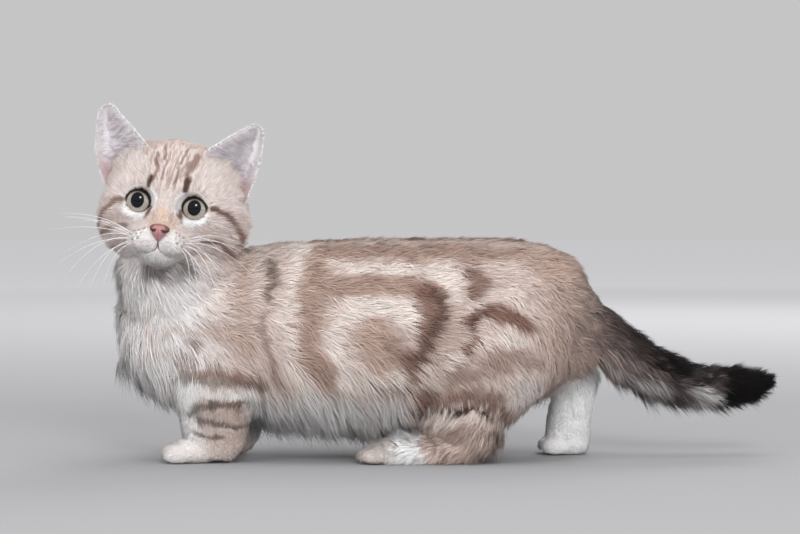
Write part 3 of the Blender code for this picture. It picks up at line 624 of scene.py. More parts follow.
headStrokes = [
    ("dark", 1.0, 1.25, 1.0, [(-10.7, 9.6), (-9.6, 14.6)]),
    ("dark", 1.0, 1.45, 1.0, [(9.9, 9.4), (10.8, 14.8)]),
    ("brown", 0.75, 1.9, 1.2, [(12.4, 24.0), (13.2, 28.6)]),
    ("brown", 0.75, 1.1, 1.0, [(9.2, 17.6), (10.8, 21.6), (9.4, 24)]),
    ("brown", 0.8, 0.8, 0.9, [(-8.4, 14.0), (-7.4, 19.0), (-9.6, 23.0), (-9.4, 27)]),
    ("brown", 0.7, 0.5, 0.7, [(-3.6, 13), (-4.2, 20), (-3.2, 24)]),
    ("brown", 0.7, 0.5, 0.7, [(3.4, 12), (4.6, 17), (4.0, 21)]),
    ("brown", 0.75, 0.6, 0.7, [(-4.6, 25), (-5.8, 32)]),
    ("brown", 0.75, 0.6, 0.7, [(4.4, 23), (6.4, 28), (6.0, 33)]),
    ("tan", 0.6, 0.6, 0.8, [(0.0, 10), (-0.6, 17), (0.4, 23), (0, 31)]),
    ("tan", 0.5, 0.6, 0.8, [(7.0, 13), (7.3, 19), (8.4, 24)]),
    ("tan", 0.5, 0.6, 0.8, [(-6.2, 13), (-6.6, 19)]),
    ("tan", 0.5, 1.8, 1.6, [(-17.0, 29), (-13.5, 33)]),
    ("tan", 0.5, 1.8, 1.6, [(15.5, 33), (20, 31)]),
    # white fur under and beside the eyes in the brightest white: partly its own white, partly painted light
    # in the hollows by the eyes
    ("snow", 1.0, 1.5, 1.6, [(-23.4, -4), (-21.0, -7.6), (-15.9, -9.2), (-10.8, -7.6)]),
    ("snow", 1.0, 1.5, 1.6, [(23.4, -4), (21.0, -7.6), (15.9, -9.2), (10.8, -7.6)]),
    ("snow", 0.95, 1.5, 1.7, [(-7.2, -3), (-7.0, 2), (-8.2, 6.0)]),
    ("snow", 0.8, 1.2, 1.7, [(7.4, -3), (7.2, 2), (8.4, 6.0)]),
    ("cream", 0.6, 1.8, 2.0, [(-25, 3), (-20, 8.6), (-14, 10)]),
    ("cream", 0.6, 1.8, 2.0, [(25, 3), (20, 8.6), (14, 10)]),
    ("bridge", 0.9, 3.2, 2.6, [(0, -6.0), (0, -11.0)]),
    ("bridge", 0.7, 2.2, 2.0, [(-6.0, -9.5), (-6.0, -14)]),
    ("bridge", 0.7, 2.2, 2.0, [(6.0, -9.5), (6.0, -14)]),
    ("brown", 0.3, 0.5, 0.8, [(-5.0, -5), (-5.4, -9.5)]),
    ("brown", 0.3, 0.5, 0.8, [(5.0, -5), (5.4, -9.5)]),
    ("dark", 0.9, 0.9, 1.0, [(8.6, -3.4), (9.2, -5.8)]),
    ("dark", 0.9, 0.9, 1.0, [(-8.6, -3.4), (-9.2, -5.8)]),
    ("brown", 0.7, 0.9, 1.2, [(9.0, -5.6), (10.4, -8.8)]),
    ("brown", 0.7, 0.9, 1.2, [(-9.0, -5.6), (-10.4, -8.8)]),
    ("brown", 0.9, 1.3, 1.5, [(27.0, 0.8), (34, -0.8), (39.4, -6.6), (42.4, -11), (44, -17)]),
    ("dark", 0.6, 0.8, 1.0, [(28.0, 0.9), (34, -0.9), (39, -6.2)]),
    ("brown", 0.85, 1.3, 1.5, [(-25.5, -0.5), (-31, -2.5), (-36, -9), (-39, -17)]),
    ("brown", 0.8, 1.0, 1.4, [(22.8, -17.6), (28, -17.2), (33, -17.8), (35.5, -20.6), (40, -24.4)]),
    ("dark", 0.55, 0.7, 1.0, [(23.5, -17.5), (28, -17.2), (31, -17.5)]),
    ("brown", 0.75, 1.1, 1.4, [(-21.5, -15), (-28, -15.5), (-36, -21)]),
    ("tan", 0.6, 1.4, 1.6, [(21, -25), (27, -29), (32, -35)]),
    ("tan", 0.6, 1.4, 1.6, [(-21, -24), (-28, -27), (-33, -32)]),
    ("tan", 0.25, 3.0, 3.0, [(24, -11), (31, -13)]),
    ("tan", 0.4, 3.0, 3.0, [(-24, -10), (-31, -12)]),
]
whiskerSpots = [(9.0, -15.6), (11.6, -16.6), (14.2, -17.4), (9.6, -18.4), (12.4, -19.4), (15.0, -20.4)]
whiskerSpots += [(10.6, -21.4), (13.4, -22.6)]


def plain(points, paint):
    colour = furTone[paint] if isinstance(paint, str) else paint
    return np.tile(colour, (len(points), 1))


def laidOver(colour, *washes):
    for paint, amount in washes:
        goal = furTone[paint] if isinstance(paint, str) else paint
        colour = colour + (goal - colour) * np.clip(amount, 0, 1)[:, None]
    return colour


def stroked(colour, places, strokes, share):
    for paint, strength, halfWidth, soft, line in strokes:
        distance = lineDistance(places, line)
        amount = strength * stepDown(distance, halfWidth - soft * 0.5, halfWidth + soft)
        colour = laidOver(colour, (paint, amount * share))
    return colour


def tailMarkings(points, colour, part):
    # dark above, paler below, a light band and a black tip
    x = points[:, 0]
    onTail = among(part, "tail") * smoothStep(x, 78, 96)
    rows = np.array(tailSections)
    along = np.interp(x, rows[:, 0], rows[:, 2])
    radius = np.interp(x, rows[:, 0], rows[:, 3])
    height = (points[:, 2] - along) / np.maximum(radius, 1) + 0.25 * ripple(points, 9, 12)
    streak = smoothStep(ripple(points * np.array((0.25, 1, 1)), 7, 13), -0.2, 1.3)
    ridge = smoothStep(height, -0.1 - 0.3 * smoothStep(x, 120, 150), 0.65)
    band = bell(x - 157 + 3 * ripple(points, 10, 14), 6.0)
    plume = laidOver(
        plain(points, "taupe"),
        ("belly", 0.45 * streak * stepDown(height, -0.5, 0.3)),
        ("black", (0.3 + 0.67 * smoothStep(x, 94, 134)) * ridge),
        ("black", 0.7 * bell(x - 140, 6)),
        ("belly", 0.6 * band * (1 - 0.97 * smoothStep(height, -0.35, 0.25))),
        ("black", smoothStep(x + 2 * ripple(points, 8, 15), 162, 172)),
    )
    start = smoothStep(x + 9 * np.clip(height, -1, 1) + 5 * ripple(points, 7, 17), 70, 112)
    return colour + (plume - colour) * (onTail * start)[:, None]


def bodyMarkings(points, part):
    wobble = ripples(points, (26, 5), (24, 6)) * 2.0 + ripples(points, (8, 7), (8, 8)) * 0.9
    places = inPicture(points) + wobble
    x, y = places.T
    aside, height = np.abs(points[:, 1]), points[:, 2]
    chest = smoothStep(-x, -240, -180) * smoothStep(y, 244, 276)
    patches = smoothStep(ripple(points, 20, 9), -0.4, 1.4)
    colour = laidOver(plain(points, "flank"), ("cream", 0.35 * patches), ("white", 0.85 * chest))
    colour = stroked(colour, places, bodyStrokes, 1.0)
    belly = smoothStep(y, 388, 414) * smoothStep(x, 238, 262) * stepDown(x, 398, 420)
    inner = smoothStep(18 - aside, 0, 10) * smoothStep(y, 385, 420)
    # along the middle of the back
    middle = np.abs(points[:, 1] + 2.0 * ripple(points, 40, 4))
    top = smoothStep(height, 112, 122) * smoothStep(points[:, 0], -105, -60)
    rear = smoothStep(x + 6 * ripple(points, 7, 17), 560, 606) * smoothStep(-y, -372, -340)
    paws = stepDown(height, 9, 17) * (points[:, 0] < -80)
    # the far hind leg is white below the thigh, painted in the brightest white: partly its own white, partly
    # painted light against the shade the body throws on it
    far = among(part, "hindLegRight") * stepDown(height, 46, 58)
    far = far * np.maximum(smoothStep(points[:, 0], 46, 56), stepDown(points[:, 1], 18, 26))
    near = among(part, "hindLegLeft")
    mottle = near * stepDown(height, 30, 40) * smoothStep(ripple(points, 5, 16), 0.0, 1.3)
    tuft = near * (height < 32) * np.exp(-(((x - 404 + 5 * ripple(points, 6, 18)) / 15) ** 4))
    colour = laidOver(
        colour,
        ("belly", 0.9 * belly),
        ("belly", 0.8 * inner),
        ("brown", 0.7 * top * stepDown(middle, 3, 8)),
        ("cream", 0.45 * top * bell(middle - 13, 4)),
        ("tan", 0.9 * smoothStep(x, 520, 560)),
        ("taupe", 0.8 * rear),
        ("cream", 0.25 * paws),
        # painted light: the far hind leg in the brightest white
        ("snow", far),
        ("tan", 0.75 * near * stepDown(height, 14, 26)),
        ("cream", 0.6 * mottle),
        ("belly", 0.35 * near * (height < 34) * stepDown(x, 416, 430)),
        ("snow", tuft),
    )
    return tailMarkings(points, colour, part)


def headMarkings(points):
    local = toHead(points)
    flat = local[:, (0, 2)] + ripples(points, (9, 21), (9, 22)) * 0.3
    x, z = flat.T
    beside = np.abs(x)
    front = stepDown(local[:, 1], 22, 34)
    fine = smoothStep(ripple(local * np.array((1, 0.3, 0.22)), 3.2, 23), 0.3, 1.2)
    crown = smoothStep(z + 0.4 * local[:, 1], 34, 44) * stepDown(beside, 18, 26)
    colour = laidOver(
        plain(points, "flank"),
        ("rose", 0.65 * front),
        ("cream", 0.6 * (smoothStep(z, 6, 16) * smoothStep(beside, 16, 26))),
        ("tan", 0.8 * fine * (smoothStep(z, 4, 12) * stepDown(beside, 12, 20))),
        ("tan", 0.55 * crown),
        ("tan", 0.2 * (smoothStep(beside, 22, 36) * stepDown(z, -4, 8))),
    )
    colour = stroked(colour, flat, headStrokes, front)
    muzzle = stepDown(np.linalg.norm((flat - (0, -21.5)) / (17.5, 7.5), axis=1), 0.7, 1.15) * front
    # painted shade: darker lines along the rows of the whiskers, with more of it low on the pads
    rows = smoothStep(np.sin((z + 0.25 * beside) * 2.4 + ripple(points, 7, 25)), 0.1, 1) * muzzle
    # painted shade under the chin: the throat in belly tone, the chin darker still, and a grey band below it
    throat = stepDown(z, -34, -24) * stepDown(beside, 16, 30)
    chin = stepDown(np.linalg.norm((flat - (0, -32)) / (14, 6.5), axis=1), 0.7, 1.3) * front
    colour = laidOver(
        colour,
        ("white", 0.95 * muzzle),
        ("flank", 0.45 * rows * (1 - smoothStep(z, -20, -15) * 0.4)),
        # painted shade: throat, chin and the band under the chin
        ("belly", 0.85 * throat),
        (0.8 * furTone["belly"], 0.6 * chin),
        ("grey", 0.65 * (stepDown(z, -39, -33) * stepDown(beside, 16, 26))),
    )
    for spotX, spotZ in whiskerSpots:
        distance = np.hypot(beside - spotX, z - spotZ)
        colour = laidOver(colour, ("dark", 0.75 * front * stepDown(distance, 0.35, 0.9)))
    # stripes over the back of the head
    stripe = smoothStep(np.cos(x / 6.2 * np.pi + 1.2 * ripple(points, 22, 24)), -0.1, 0.8)
    behind = smoothStep(local[:, 1], 24, 40)
    return laidOver(colour, ("brown", 0.25 * behind * stripe * stepDown(beside, 22, 34)))


def markings(points, part):
    colour = bodyMarkings(points, part)
    onHead = among(part, "head")
    if onHead.any():
        colour[onHead] = headMarkings(points[onHead])
    return colour


# Lie, length and thickness of the hair at every point of the skin

print("coat: the lie of the hair")
points = pointsOf(skin)
count = len(points)
normals = readRows(skin.data.vertex_normals, "vector", 3).astype(float)
corners = readRows(skin.data.polygons, "vertices", 3, np.int32)
part = labels[nearestIndex(points, labelPoints)]
onPart = {name: among(part, name) for name in partNames}
local = toHead(points)
beside = np.abs(local[:, 0])
x, y, z = points.T
coat = {
    "lie": np.tile((1.0, 0.0, -0.3), (count, 1)),
    "length": np.full(count, 10.0),
    "width": np.full(count, 0.56),
    "density": np.full(count, 0.95),
    "lift": np.full(count, 16.0),
    "guard": np.full(count, 0.12),  # longer bent hairs, per square millimetre
}


def settle(chosen, **values):
    for key, value in values.items():
        coat[key][chosen] = np.broadcast_to(value, coat[key].shape)[chosen]


def drawTowards(share, **goals):
    for key, goal in goals.items():
        coat[key] += (np.array(goal) - coat[key]) * (share[:, None] if key == "lie" else share)


def addTo(share, **amounts):
    for key, amount in amounts.items():
        coat[key] += amount * share


onTorso = onPart["torso"]
low = stepDown(z, 34, 74)
fore = stepDown(x, -172, -112)
fall = -0.08 - 0.18 * stepDown(z, 80, 122) - 0.95 * low - 0.9 * fore
settle(
    onTorso,
    lie=np.column_stack([1.0 - 0.25 * low - 0.7 * fore, 0 * x, fall]),
    length=8.5 + 3.0 * stepDown(z, 70, 120) + 3.0 * low + 3.0 * fore,
)
belly = onTorso * smoothStep(-normals[:, 2], 0.1, 0.75) * (x < 30) * (x > -140)
addTo(belly, length=1.5, lift=14)
coat["guard"] += 0.22 * low * onTorso + 0.15 * fore * onTorso
drawTowards(fore * onTorso, width=0.46)
addTo(fore * onTorso, density=0.4)

onNeck = onPart["neck"]
backward = smoothStep(x, -182, -138)
neckLie = np.column_stack([0.1 + 0.8 * backward, 0 * x, -1.0 + 0.4 * backward])
settle(onNeck, lie=neckLie, length=10.5, lift=18.0, guard=0.4, density=1.5, width=0.44)

stations = spline(tailSections, 4)[:, :3]
tangents = unit(np.gradient(stations, axis=0))
tailLie = np.column_stack([np.interp(x, stations[:, 0], tangents[:, k]) for k in range(3)])
tailLength = np.interp(x, [80, 120, 176, 190, 198], [11, 12.0, 11, 7.5, 5.0])
tailLift = 25.0 + 12 * smoothStep(x, 180, 194)
settle(onPart["tail"], lie=tailLie, length=tailLength, lift=tailLift, density=1.5, guard=0.45, width=0.5)

onFore = onPart["frontLegLeft"] | onPart["frontLegRight"]
nearHind, farHind = onPart["hindLegLeft"], onPart["hindLegRight"]
above = smoothStep(z, 12, 40)
settle(
    onFore | nearHind | farHind,
    lie=(0.12, 0, -1.0),
    length=3.2 + 2.4 * above,
    width=0.42,
    density=1.95 - 0.4 * above,
    lift=13.0,
    guard=0.03,
)
thigh = (nearHind | farHind) * smoothStep(z, 36, 58)
drawTowards(thigh, lie=(0.62, 0, -0.8), length=9.5, width=0.56, density=1.05, guard=0.22)
drawTowards(onFore * smoothStep(z, 40, 66), lie=(0.45, 0, -0.95), length=9.0, guard=0.2)
onFoot = (nearHind & (z < 18)) * stepDown(x, 14, 30)
onPaw = stepDown(z, 11, 17) * np.maximum(onFore * stepDown(x, -132, -122), farHind * stepDown(x, 74, 84))
toesWard = np.maximum(onFoot, onPaw)
drawTowards(toesWard, lie=(-1.0, 0, -0.45), length=2.7, width=0.34, density=2.3)
coat["guard"] *= 1 - toesWard

# the loose fur over the near hind foot and below its shank
fluff = 1.2 * nearHind * bell(x + 15, 10) * stepDown(z, 22, 32)
fluff = np.maximum(fluff, nearHind * smoothStep(x, -14, -4) * stepDown(z, 26, 36))
drawTowards(fluff, lie=(-0.8, 0, -0.35), length=9.5, lift=42.0, density=2.0, width=0.44, guard=0.5)

onHead = onPart["head"]
away = local - (0, -8, -16)
away[:, 2] -= 9 * smoothStep(beside, 18, 32) * stepDown(local[:, 2], -8, 6)
for side in (-1, 1):
    offset = local - (side * headSize["eyeSpacing"], 2.0, 0.0)
    offset[:, 1] = 0
    turn = stepDown(np.linalg.norm(offset, axis=1), 8.5, 14.5) * (local[:, 1] < 14)
    away = unit(away) + unit(offset) * (2.4 * turn)[:, None]
fromNose = np.linalg.norm(local - (0, -10, -16), axis=1)
ruff = smoothStep(beside, 20, 36) * stepDown(local[:, 2], -6, 10)
# less of it on the cheek that is turned away
ruff *= np.where(local[:, 0] < 0, 0.35 + 0.5 * stepDown(local[:, 2], -26, -14), 1.0)
settle(
    onHead,
    lie=away @ headAxes.T,
    length=1.8 + 2.8 * smoothStep(fromNose, 4, 46) + 5.0 * ruff,
    width=0.22 + 0.14 * smoothStep(fromNose, 4, 44),
    density=6.4 - 3.0 * smoothStep(fromNose, 6, 46),
    lift=23.0 - 12.0 * smoothStep(local[:, 1], 6, 20) + 8 * ruff,
    guard=0.6 * smoothStep(fromNose, 18, 40) + 0.45 * ruff,
)
seamLine = [(24.5, 30.5), (31, 25), (36, 17.5), (38.5, 11)]
seam = bell(lineDistance(np.stack([beside, local[:, 2]], axis=1), seamLine), 4.6)
seam *= onHead * stepDown(local[:, 1], 25, 34)
drawTowards(seam, length=9.5, lift=56.0)
addTo(seam, density=1.0, guard=0.5)
under = onHead * stepDown(local[:, 2], -36, -24) * smoothStep(local[:, 1], 2, 12)
nape = onHead * stepDown(local[:, 2] - 0.25 * local[:, 1], -24, -8) * smoothStep(local[:, 1], 12, 26)
hanging = np.maximum(under, nape)
drawTowards(hanging, length=10.5, width=0.46, density=2.2, lift=9.0, guard=0.5)
addTo(onNeck * smoothStep(z, 96, 124), lift=16, density=0.5)

edges = np.vstack([corners[:, (0, 1)], corners[:, (1, 2)], corners[:, (2, 0)]])
valence = np.bincount(edges.ravel(), minlength=count).astype(float)
coat["lie"] = unit(coat["lie"])
fields = np.column_stack([*coat.values(), normals])
for _ in range(14):
    summed = np.empty_like(fields)
    for k in range(fields.shape[1]):
        summed[:, k] = np.bincount(edges[:, 0], fields[edges[:, 1], k], count)
        summed[:, k] += np.bincount(edges[:, 1], fields[edges[:, 0], k], count)
    fields = 0.35 * fields + 0.65 * summed / valence[:, None]
softNormals = unit(fields[:, 8:] + 0.3 * normals * onHead[:, None])
# round the eyes the coat takes the light as the front of the face does
roundEye = 0.0
for side in (-1, 1):
    fromEye = np.hypot(local[:, 0] - side * headSize["eyeSpacing"], local[:, 2])
    roundEye = np.maximum(roundEye, bell(fromEye - 9.5, 3.6) * onHead * (local[:, 1] < 12))
softNormals = unit(softNormals + np.outer(1.1 * roundEye, headAxes @ (0, -0.96, 0.28)))


def eyeReach(local, side):
    # one at the edge of the fur round an eye, which leaves room for the upper lid
    across = (local[:, 0] - side * headSize["eyeSpacing"]) / 7.45
    upper = np.clip(local[:, 2], 0, 9)
    return np.hypot(across, local[:, 2] / (6.6 + 0.1 * upper))


# bare places: the openings of the eyes, the nose, the line of the mouth and the soles
bare = np.ones(count)
for side in (-1, 1):
    bare *= 1 - (eyeReach(local, side) < 1.0) * (local[:, 1] < 12) * onHead
bare *= ellipsoidDistance(local, (0, -11.2, -14.6), (5.9, 4.6, 3.5)) > 0.15
fromMouth = lineDistance(np.stack([beside, local[:, 2]], axis=1), spline(mouthLine, 3))
bare *= 1 - onHead * (fromMouth < 0.4) * (local[:, 1] < 4)
bare *= 1 - (normals[:, 2] < -0.7) * (z < 1.6)

coatSize = {
    # painted shade and light in the coat: hairs darker at the root, lighter at the tip, pale hairs less dark
    # at the root
    "rootShade": 0.8,
    "tipShade": 1.1,
    "paleRoots": 0.15,
    "patternReach": 0.6,
    "ownShading": 0.5,
    "patch": 0.003,
    "density": 1.42,
    "guardDensity": 0.95,
    "guardLength": 1.18,
    "lockOf": 22,  # hairs to a lock
    "rootDepth": 0.25,
    # painted shade: how much darker the skin under the coat is than its markings
    "skinShade": 0.72,
    # wave length, seed and share of the waves in the lie
    "sway": [(17, 31, 0.19), (6, 41, 0.11)],
    "onHead": {"sway": 0.55, "stray": 0.10, "lock": 0.16, "shade": 0.13, "shading": 1.7},
    "onBody": {"sway": 1.0, "stray": 0.13, "lock": 0.34, "shade": 0.09, "shading": 1.0},
}

# the skin's unwrap and its markings
choose(skin)
bpy.ops.object.mode_set(mode="EDIT")
bpy.ops.mesh.select_all(action="SELECT")
skin.data.uv_layers.new(name="OFBake")
bpy.ops.uv.smart_project(angle_limit=math.radians(66), island_margin=0.002)
bpy.ops.object.mode_set(mode="OBJECT")
skinUv = readRows(skin.data.uv_layers["OFBake"].data, "uv", 2).reshape(-1, 3, 2)
rimSkin = laidOver(plain(points, "black"), (tone(150, 118, 108), stepDown(local[:, 2], -4, 1)))
skinColour = markings(points, part)
for side in (-1, 1):
    hollow = onHead * stepDown(eyeReach(local, side), 0.97, 1.03) * (local[:, 1] < 12)
    skinColour = laidOver(skinColour, (rimSkin, hollow))
# painted shade: the skin under the coat darker than its markings
putColour(skin, skinColour * coatSize["skinShade"])

blade = {
    "shape": [(0, 2, 1), (0, 1, 3), (1, 2, 3), (2, 0, 3)],
    "shades": [0, 0, 0, 1],
    "steps": [0, 1, 0.5, 0.5],
}
bentBlade = {
    "shape": [(0, 2, 1), (0, 1, 4), (0, 4, 3), (1, 2, 5), (1, 5, 4), (2, 0, 3), (2, 3, 5)]
    + [(3, 4, 6), (4, 5, 6), (5, 3, 6)],
    "shades": [0, 0, 0, 0.55, 0.55, 0.55, 1],
    "steps": [0, 1, 0.5, 0.1, 0.9, 0.5, 0.5],
}


def surfaceOf(points, normals, corners, fields, uv, paint, towards=(0, 0, 0), part=None, bare=1.0):
    # towards turns the shading of the hair alone, and a surface without parts is on the head
    if part is None:
        part = np.full(len(points), partNames.index("head"))
    edgeA = points[corners[:, 1]] - points[corners[:, 0]]
    edgeB = points[corners[:, 2]] - points[corners[:, 0]]
    return {
        "points": points,
        "normals": normals,
        "corners": corners,
        "area": 0.5 * np.linalg.norm(np.cross(edgeA, edgeB), axis=1),
        "bare": bare * np.ones(len(points)),
        "fields": fields,
        "uv": uv,
        "part": part,
        "paint": paint,
        "towards": np.array(towards, float),
    }


def sampleRoots(surface, weight, seed):
    chance = np.random.default_rng(seed)
    corners = surface["corners"]
    expected = surface["area"] * weight[corners].mean(1) * (surface["bare"][corners].min(1) > 0.5)
    amount = int(expected.sum())
    which = chance.choice(len(corners), amount, p=expected / expected.sum())
    a, b = chance.random(amount), chance.random(amount)
    flip = a + b > 1
    a, b = np.where(flip, 1 - a, a), np.where(flip, 1 - b, b)
    share = np.stack([1 - a - b, a, b], axis=1)

    def blended(rows):
        return np.einsum("nk,nkd->nd", share, rows)

    chosen = corners[which]
    places, own = blended(surface["points"][chosen]), blended(surface["fields"][chosen])
    ups = unit(blended(surface["normals"][chosen]))
    return places, blended(surface["uv"][which]), ups, own, surface["part"][chosen[:, 0]], chance


def growHair(surface, weight, seed, bent):
    places, uvs, ups, own, owner, chance = sampleRoots(surface, weight, seed)
    amount = len(places)
    head = among(owner, "head")[:, None]

    def byPlace(key):
        return np.where(head, coatSize["onHead"][key], coatSize["onBody"][key])

    sway = 0.0
    for waveLength, first, share in coatSize["sway"]:
        sway = sway + share * ripples(places, *[(waveLength, first + k) for k in range(3)])
    sway *= byPlace("sway")
    sway += chance.normal(size=(amount, 3)) * byPlace("stray")
    way = unit(own[:, :3]) + sway
    way = unit(way - ups * np.sum(way * ups, axis=1, keepdims=True))
    rise = np.radians(own[:, 6] * (1 + 0.22 * ripple(places, 8, 51) + 0.18 * chance.normal(size=amount)))
    rise = np.clip(rise, 0.05, 1.2)[:, None]
    reach = own[:, 3] * chance.uniform(0.72, 1.12, amount) * (1 + 0.1 * ripple(places, 11, 52))
    if bent:
        reach = reach * coatSize["guardLength"]
    tips = places + (way * np.cos(rise) + ups * np.sin(rise)) * reach[:, None]
    # neighbouring tips draw together into locks
    locks = amount // coatSize["lockOf"] + 1
    picked = chance.choice(amount, locks, replace=False)
    nearest = picked[nearestIndex(places, places[picked])]
    draw = byPlace("lock")[:, 0] * chance.uniform(0.5, 1.3, amount)
    pull = tips[nearest] - tips
    pull *= np.minimum(1, 0.45 * reach / np.maximum(np.linalg.norm(pull, axis=1), 1e-6))[:, None]
    tips = tips + pull * draw[:, None]
    thick = own[:, 4] * chance.uniform(0.75, 1.25, amount)
    side = unit(np.cross(tips - places, ups)) * (0.5 * thick)[:, None]
    under = ups * (0.45 * thick)[:, None]
    base = places - ups * coatSize["rootDepth"]
    rows = [base - side, base + side, base - under]
    form = blade
    if bent:
        form = bentBlade
        fall = (0.10 + 0.16 * (ups[:, 2:3] < 0.2)) * reach[:, None] * np.array((0, 0, -1.0))
        middle = base + (tips - base) * 0.55 + ups * (0.05 * reach)[:, None]
        tips = tips - ups * (0.08 * reach)[:, None] + fall * (1 - head)
        rows += [middle - 0.8 * side, middle + 0.8 * side, middle - 0.8 * under]
    vertices = np.stack([*rows, tips], axis=1)
    vertices[..., 2] = np.maximum(vertices[..., 2], 0.15)
    # a hair takes most of its shading from the skin it grows on, so that the coat looks soft
    outward = unit(vertices - vertices.mean(axis=1, keepdims=True))
    roundness = coatSize["ownShading"] * byPlace("shading")[:, None]
    shading = unit(ups[:, None] + surface["towards"] + roundness * outward)
    # the colour belongs to where the hair ends, so that the pattern stays in its place
    colour = surface["paint"](places + coatSize["patternReach"] * (tips - places), owner)
    value = 1 + byPlace("shade")[:, 0] * chance.normal(size=amount) + 0.05 * ripple(places, 4, 61)
    if bent:
        value += 0.06
    shades, steps = np.array(form["shades"]), np.array(form["steps"])
    # painted shade and light: each hair darker at its root, lighter at its tip
    ramp = coatSize["rootShade"] + (coatSize["tipShade"] - coatSize["rootShade"]) * shades
    ramp = ramp[None] + coatSize["paleRoots"] * colour.mean(axis=1)[:, None] * (1 - shades)[None]
    patch = coatSize["patch"] * (np.stack([steps, shades], axis=1) - 0.5)
    return {
        "vertices": vertices,
        "colours": np.clip(colour[:, None] * (value[:, None] * ramp)[..., None], 0.004, 1.0),
        "uvs": uvs[:, None] + patch[None],
        "shape": np.array(form["shape"]),
        "owner": owner,
        "root": places,
        "shading": shading,
    }


def hairPiece(name, hair, chosen):
    vertices = hair["vertices"][chosen]
    amount, each = vertices.shape[:2]
    faces = (np.arange(amount)[:, None, None] * each + hair["shape"][None]).reshape(-1)
    mesh = bpy.data.meshes.new(name)
    mesh.vertices.add(amount * each)
    mesh.vertices.foreach_set("co", ((vertices + shift) * mm).astype(np.float32).ravel())
    mesh.loops.add(len(faces))
    mesh.loops.foreach_set("vertex_index", faces.astype(np.int32))
    mesh.polygons.add(len(faces) // 3)
    mesh.polygons.foreach_set("loop_start", np.arange(0, len(faces), 3, dtype=np.int32))
    mesh.update(calc_edges=True)
    layer = mesh.attributes.new("custom_normal", "FLOAT_VECTOR", "POINT")
    layer.data.foreach_set("vector", hair["shading"][chosen].astype(np.float32).ravel())
    made = bpy.data.objects.new(name, mesh)
    bpy.context.scene.collection.objects.link(made)
    putColour(made, hair["colours"][chosen].reshape(-1, 3))
    layer = mesh.uv_layers.new(name="OFBake")
    uvs = hair["uvs"][chosen].reshape(-1, 2)[faces]
    layer.data.foreach_set("uv", np.clip(uvs, 0, 1).astype(np.float32).ravel())
    mesh.materials.append(furCoat)
    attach(made, "root")
    print(name, len(faces) // 3)


# Materials


def feed(tree, value, entry):
    if isinstance(value, Wire):
        tree.links.new(value.socket, entry)
    else:
        entry.default_value = value


class Wire:
    def __init__(self, tree, socket):
        self.tree = tree
        self.socket = socket

    def math(self, operation, other=None):
        made = self.tree.nodes.new("ShaderNodeMath")
        made.operation = operation
        for entry, value in zip(made.inputs, [self] if other is None else [self, other]):
            feed(self.tree, value, entry)
        return Wire(self.tree, made.outputs[0])

    def __add__(self, other):
        return self.math("ADD", other)

    def __mul__(self, other):
        return self.math("MULTIPLY", other)

    def __truediv__(self, other):
        return self.math("DIVIDE", other)

    def __pow__(self, other):
        return self.math("POWER", other)


def four(colour):
    return (*map(float, colour), 1.0)


class Paint:
    def __init__(self, name):
        self.material = bpy.data.materials.new(name)
        self.material.use_nodes = True
        self.tree = self.material.node_tree
        self.tree.nodes.clear()

    def objectPlace(self):
        return self.node("TexCoord", {}, {}, 3)

    def node(self, kind, settings, values, output=0):
        made = self.tree.nodes.new("ShaderNode" + kind)
        stops = settings.pop("stops", None)
        for key, value in settings.items():
            setattr(made, key, value)
        if stops:
            while len(made.color_ramp.elements) < len(stops):
                made.color_ramp.elements.new(0.5)
            for element, (place, colour) in zip(made.color_ramp.elements, stops):
                element.position = place
                element.color = (*colour, 1)
        for key, value in values.items():
            feed(self.tree, value, made.inputs[key])
        return Wire(self.tree, made.outputs[output])

    def mix(self, amount, first, second):
        values = {0: amount, 6: first, 7: second}
        return self.node("Mix", {"data_type": "RGBA", "clamp_factor": True}, values, 2)

    def ramp(self, value, low, high, first=0.0, last=1.0, kind="SMOOTHSTEP"):
        values = {"Value": value, 1: low, 2: high, 3: first, 4: last}
        return self.node("MapRange", {"interpolation_type": kind}, values)

    def noise(self, place, scale, detail, **others):
        return self.node("TexNoise", {}, {"Vector": place, "Scale": scale, "Detail": detail, **others})

    def grained(self, colour, size):
        # the colour, the fine noise that it varies by, and the place that noise is laid over
        place = self.objectPlace()
        if colour is None:
            colour = self.node("Attribute", {"attribute_name": "marking"}, {})
        grain = self.noise(place, size["grain"], 3.0)
        shade = grain * size["depth"] + (1 - size["depth"] * 0.5)
        return self.node("VectorMath", {"operation": "SCALE"}, {0: colour, "Scale": shade}), grain, place

    def finish(self, values):
        shader = self.node("BsdfPrincipled", {}, values)
        output = self.tree.nodes.new("ShaderNodeOutputMaterial")
        self.tree.links.new(shader.socket, output.inputs["Surface"])
        return self.material


def furMaterial(name, **size):
    paint = Paint(name)
    colour, grain, place = paint.grained(None, size)
    values = {"Base Color": colour, "Roughness": grain * 0.16 + size["roughness"]}
    values["Specular IOR Level"] = size["shine"]
    values.update({"Sheen Weight": size["sheen"], "Sheen Roughness": 0.45})
    if size["bump"]:
        flow = paint.node("Mapping", {}, {"Vector": place, "Scale": (220.0, 900.0, 900.0)})
        height = {"Height": paint.noise(flow, 1.0, 4.0), "Strength": size["bump"], "Distance": 0.0006}
        values["Normal"] = paint.node("Bump", {}, height)
    return paint.finish(values)


def plainMaterial(name, rgb=None, **size):
    paint = Paint(name)
    colour, grain, place = paint.grained(rgb, size)
    cells = paint.node("TexVoronoi", {}, {"Vector": place, "Scale": size["grain"] * 1.4})
    height = {"Height": cells + grain * 0.6, "Strength": size["bump"], "Distance": 0.0002}
    return paint.finish(
        {
            "Base Color": colour,
            "Roughness": grain * 0.14 + size["roughness"],
            "Normal": paint.node("Bump", {}, height),
            "Coat Weight": size["gloss"],
            "Coat Roughness": 0.2,
            "Subsurface Weight": size["soft"],
            "Subsurface Radius": (1.0, 0.45, 0.3),
            "Subsurface Scale": 0.0012,
        }
    )


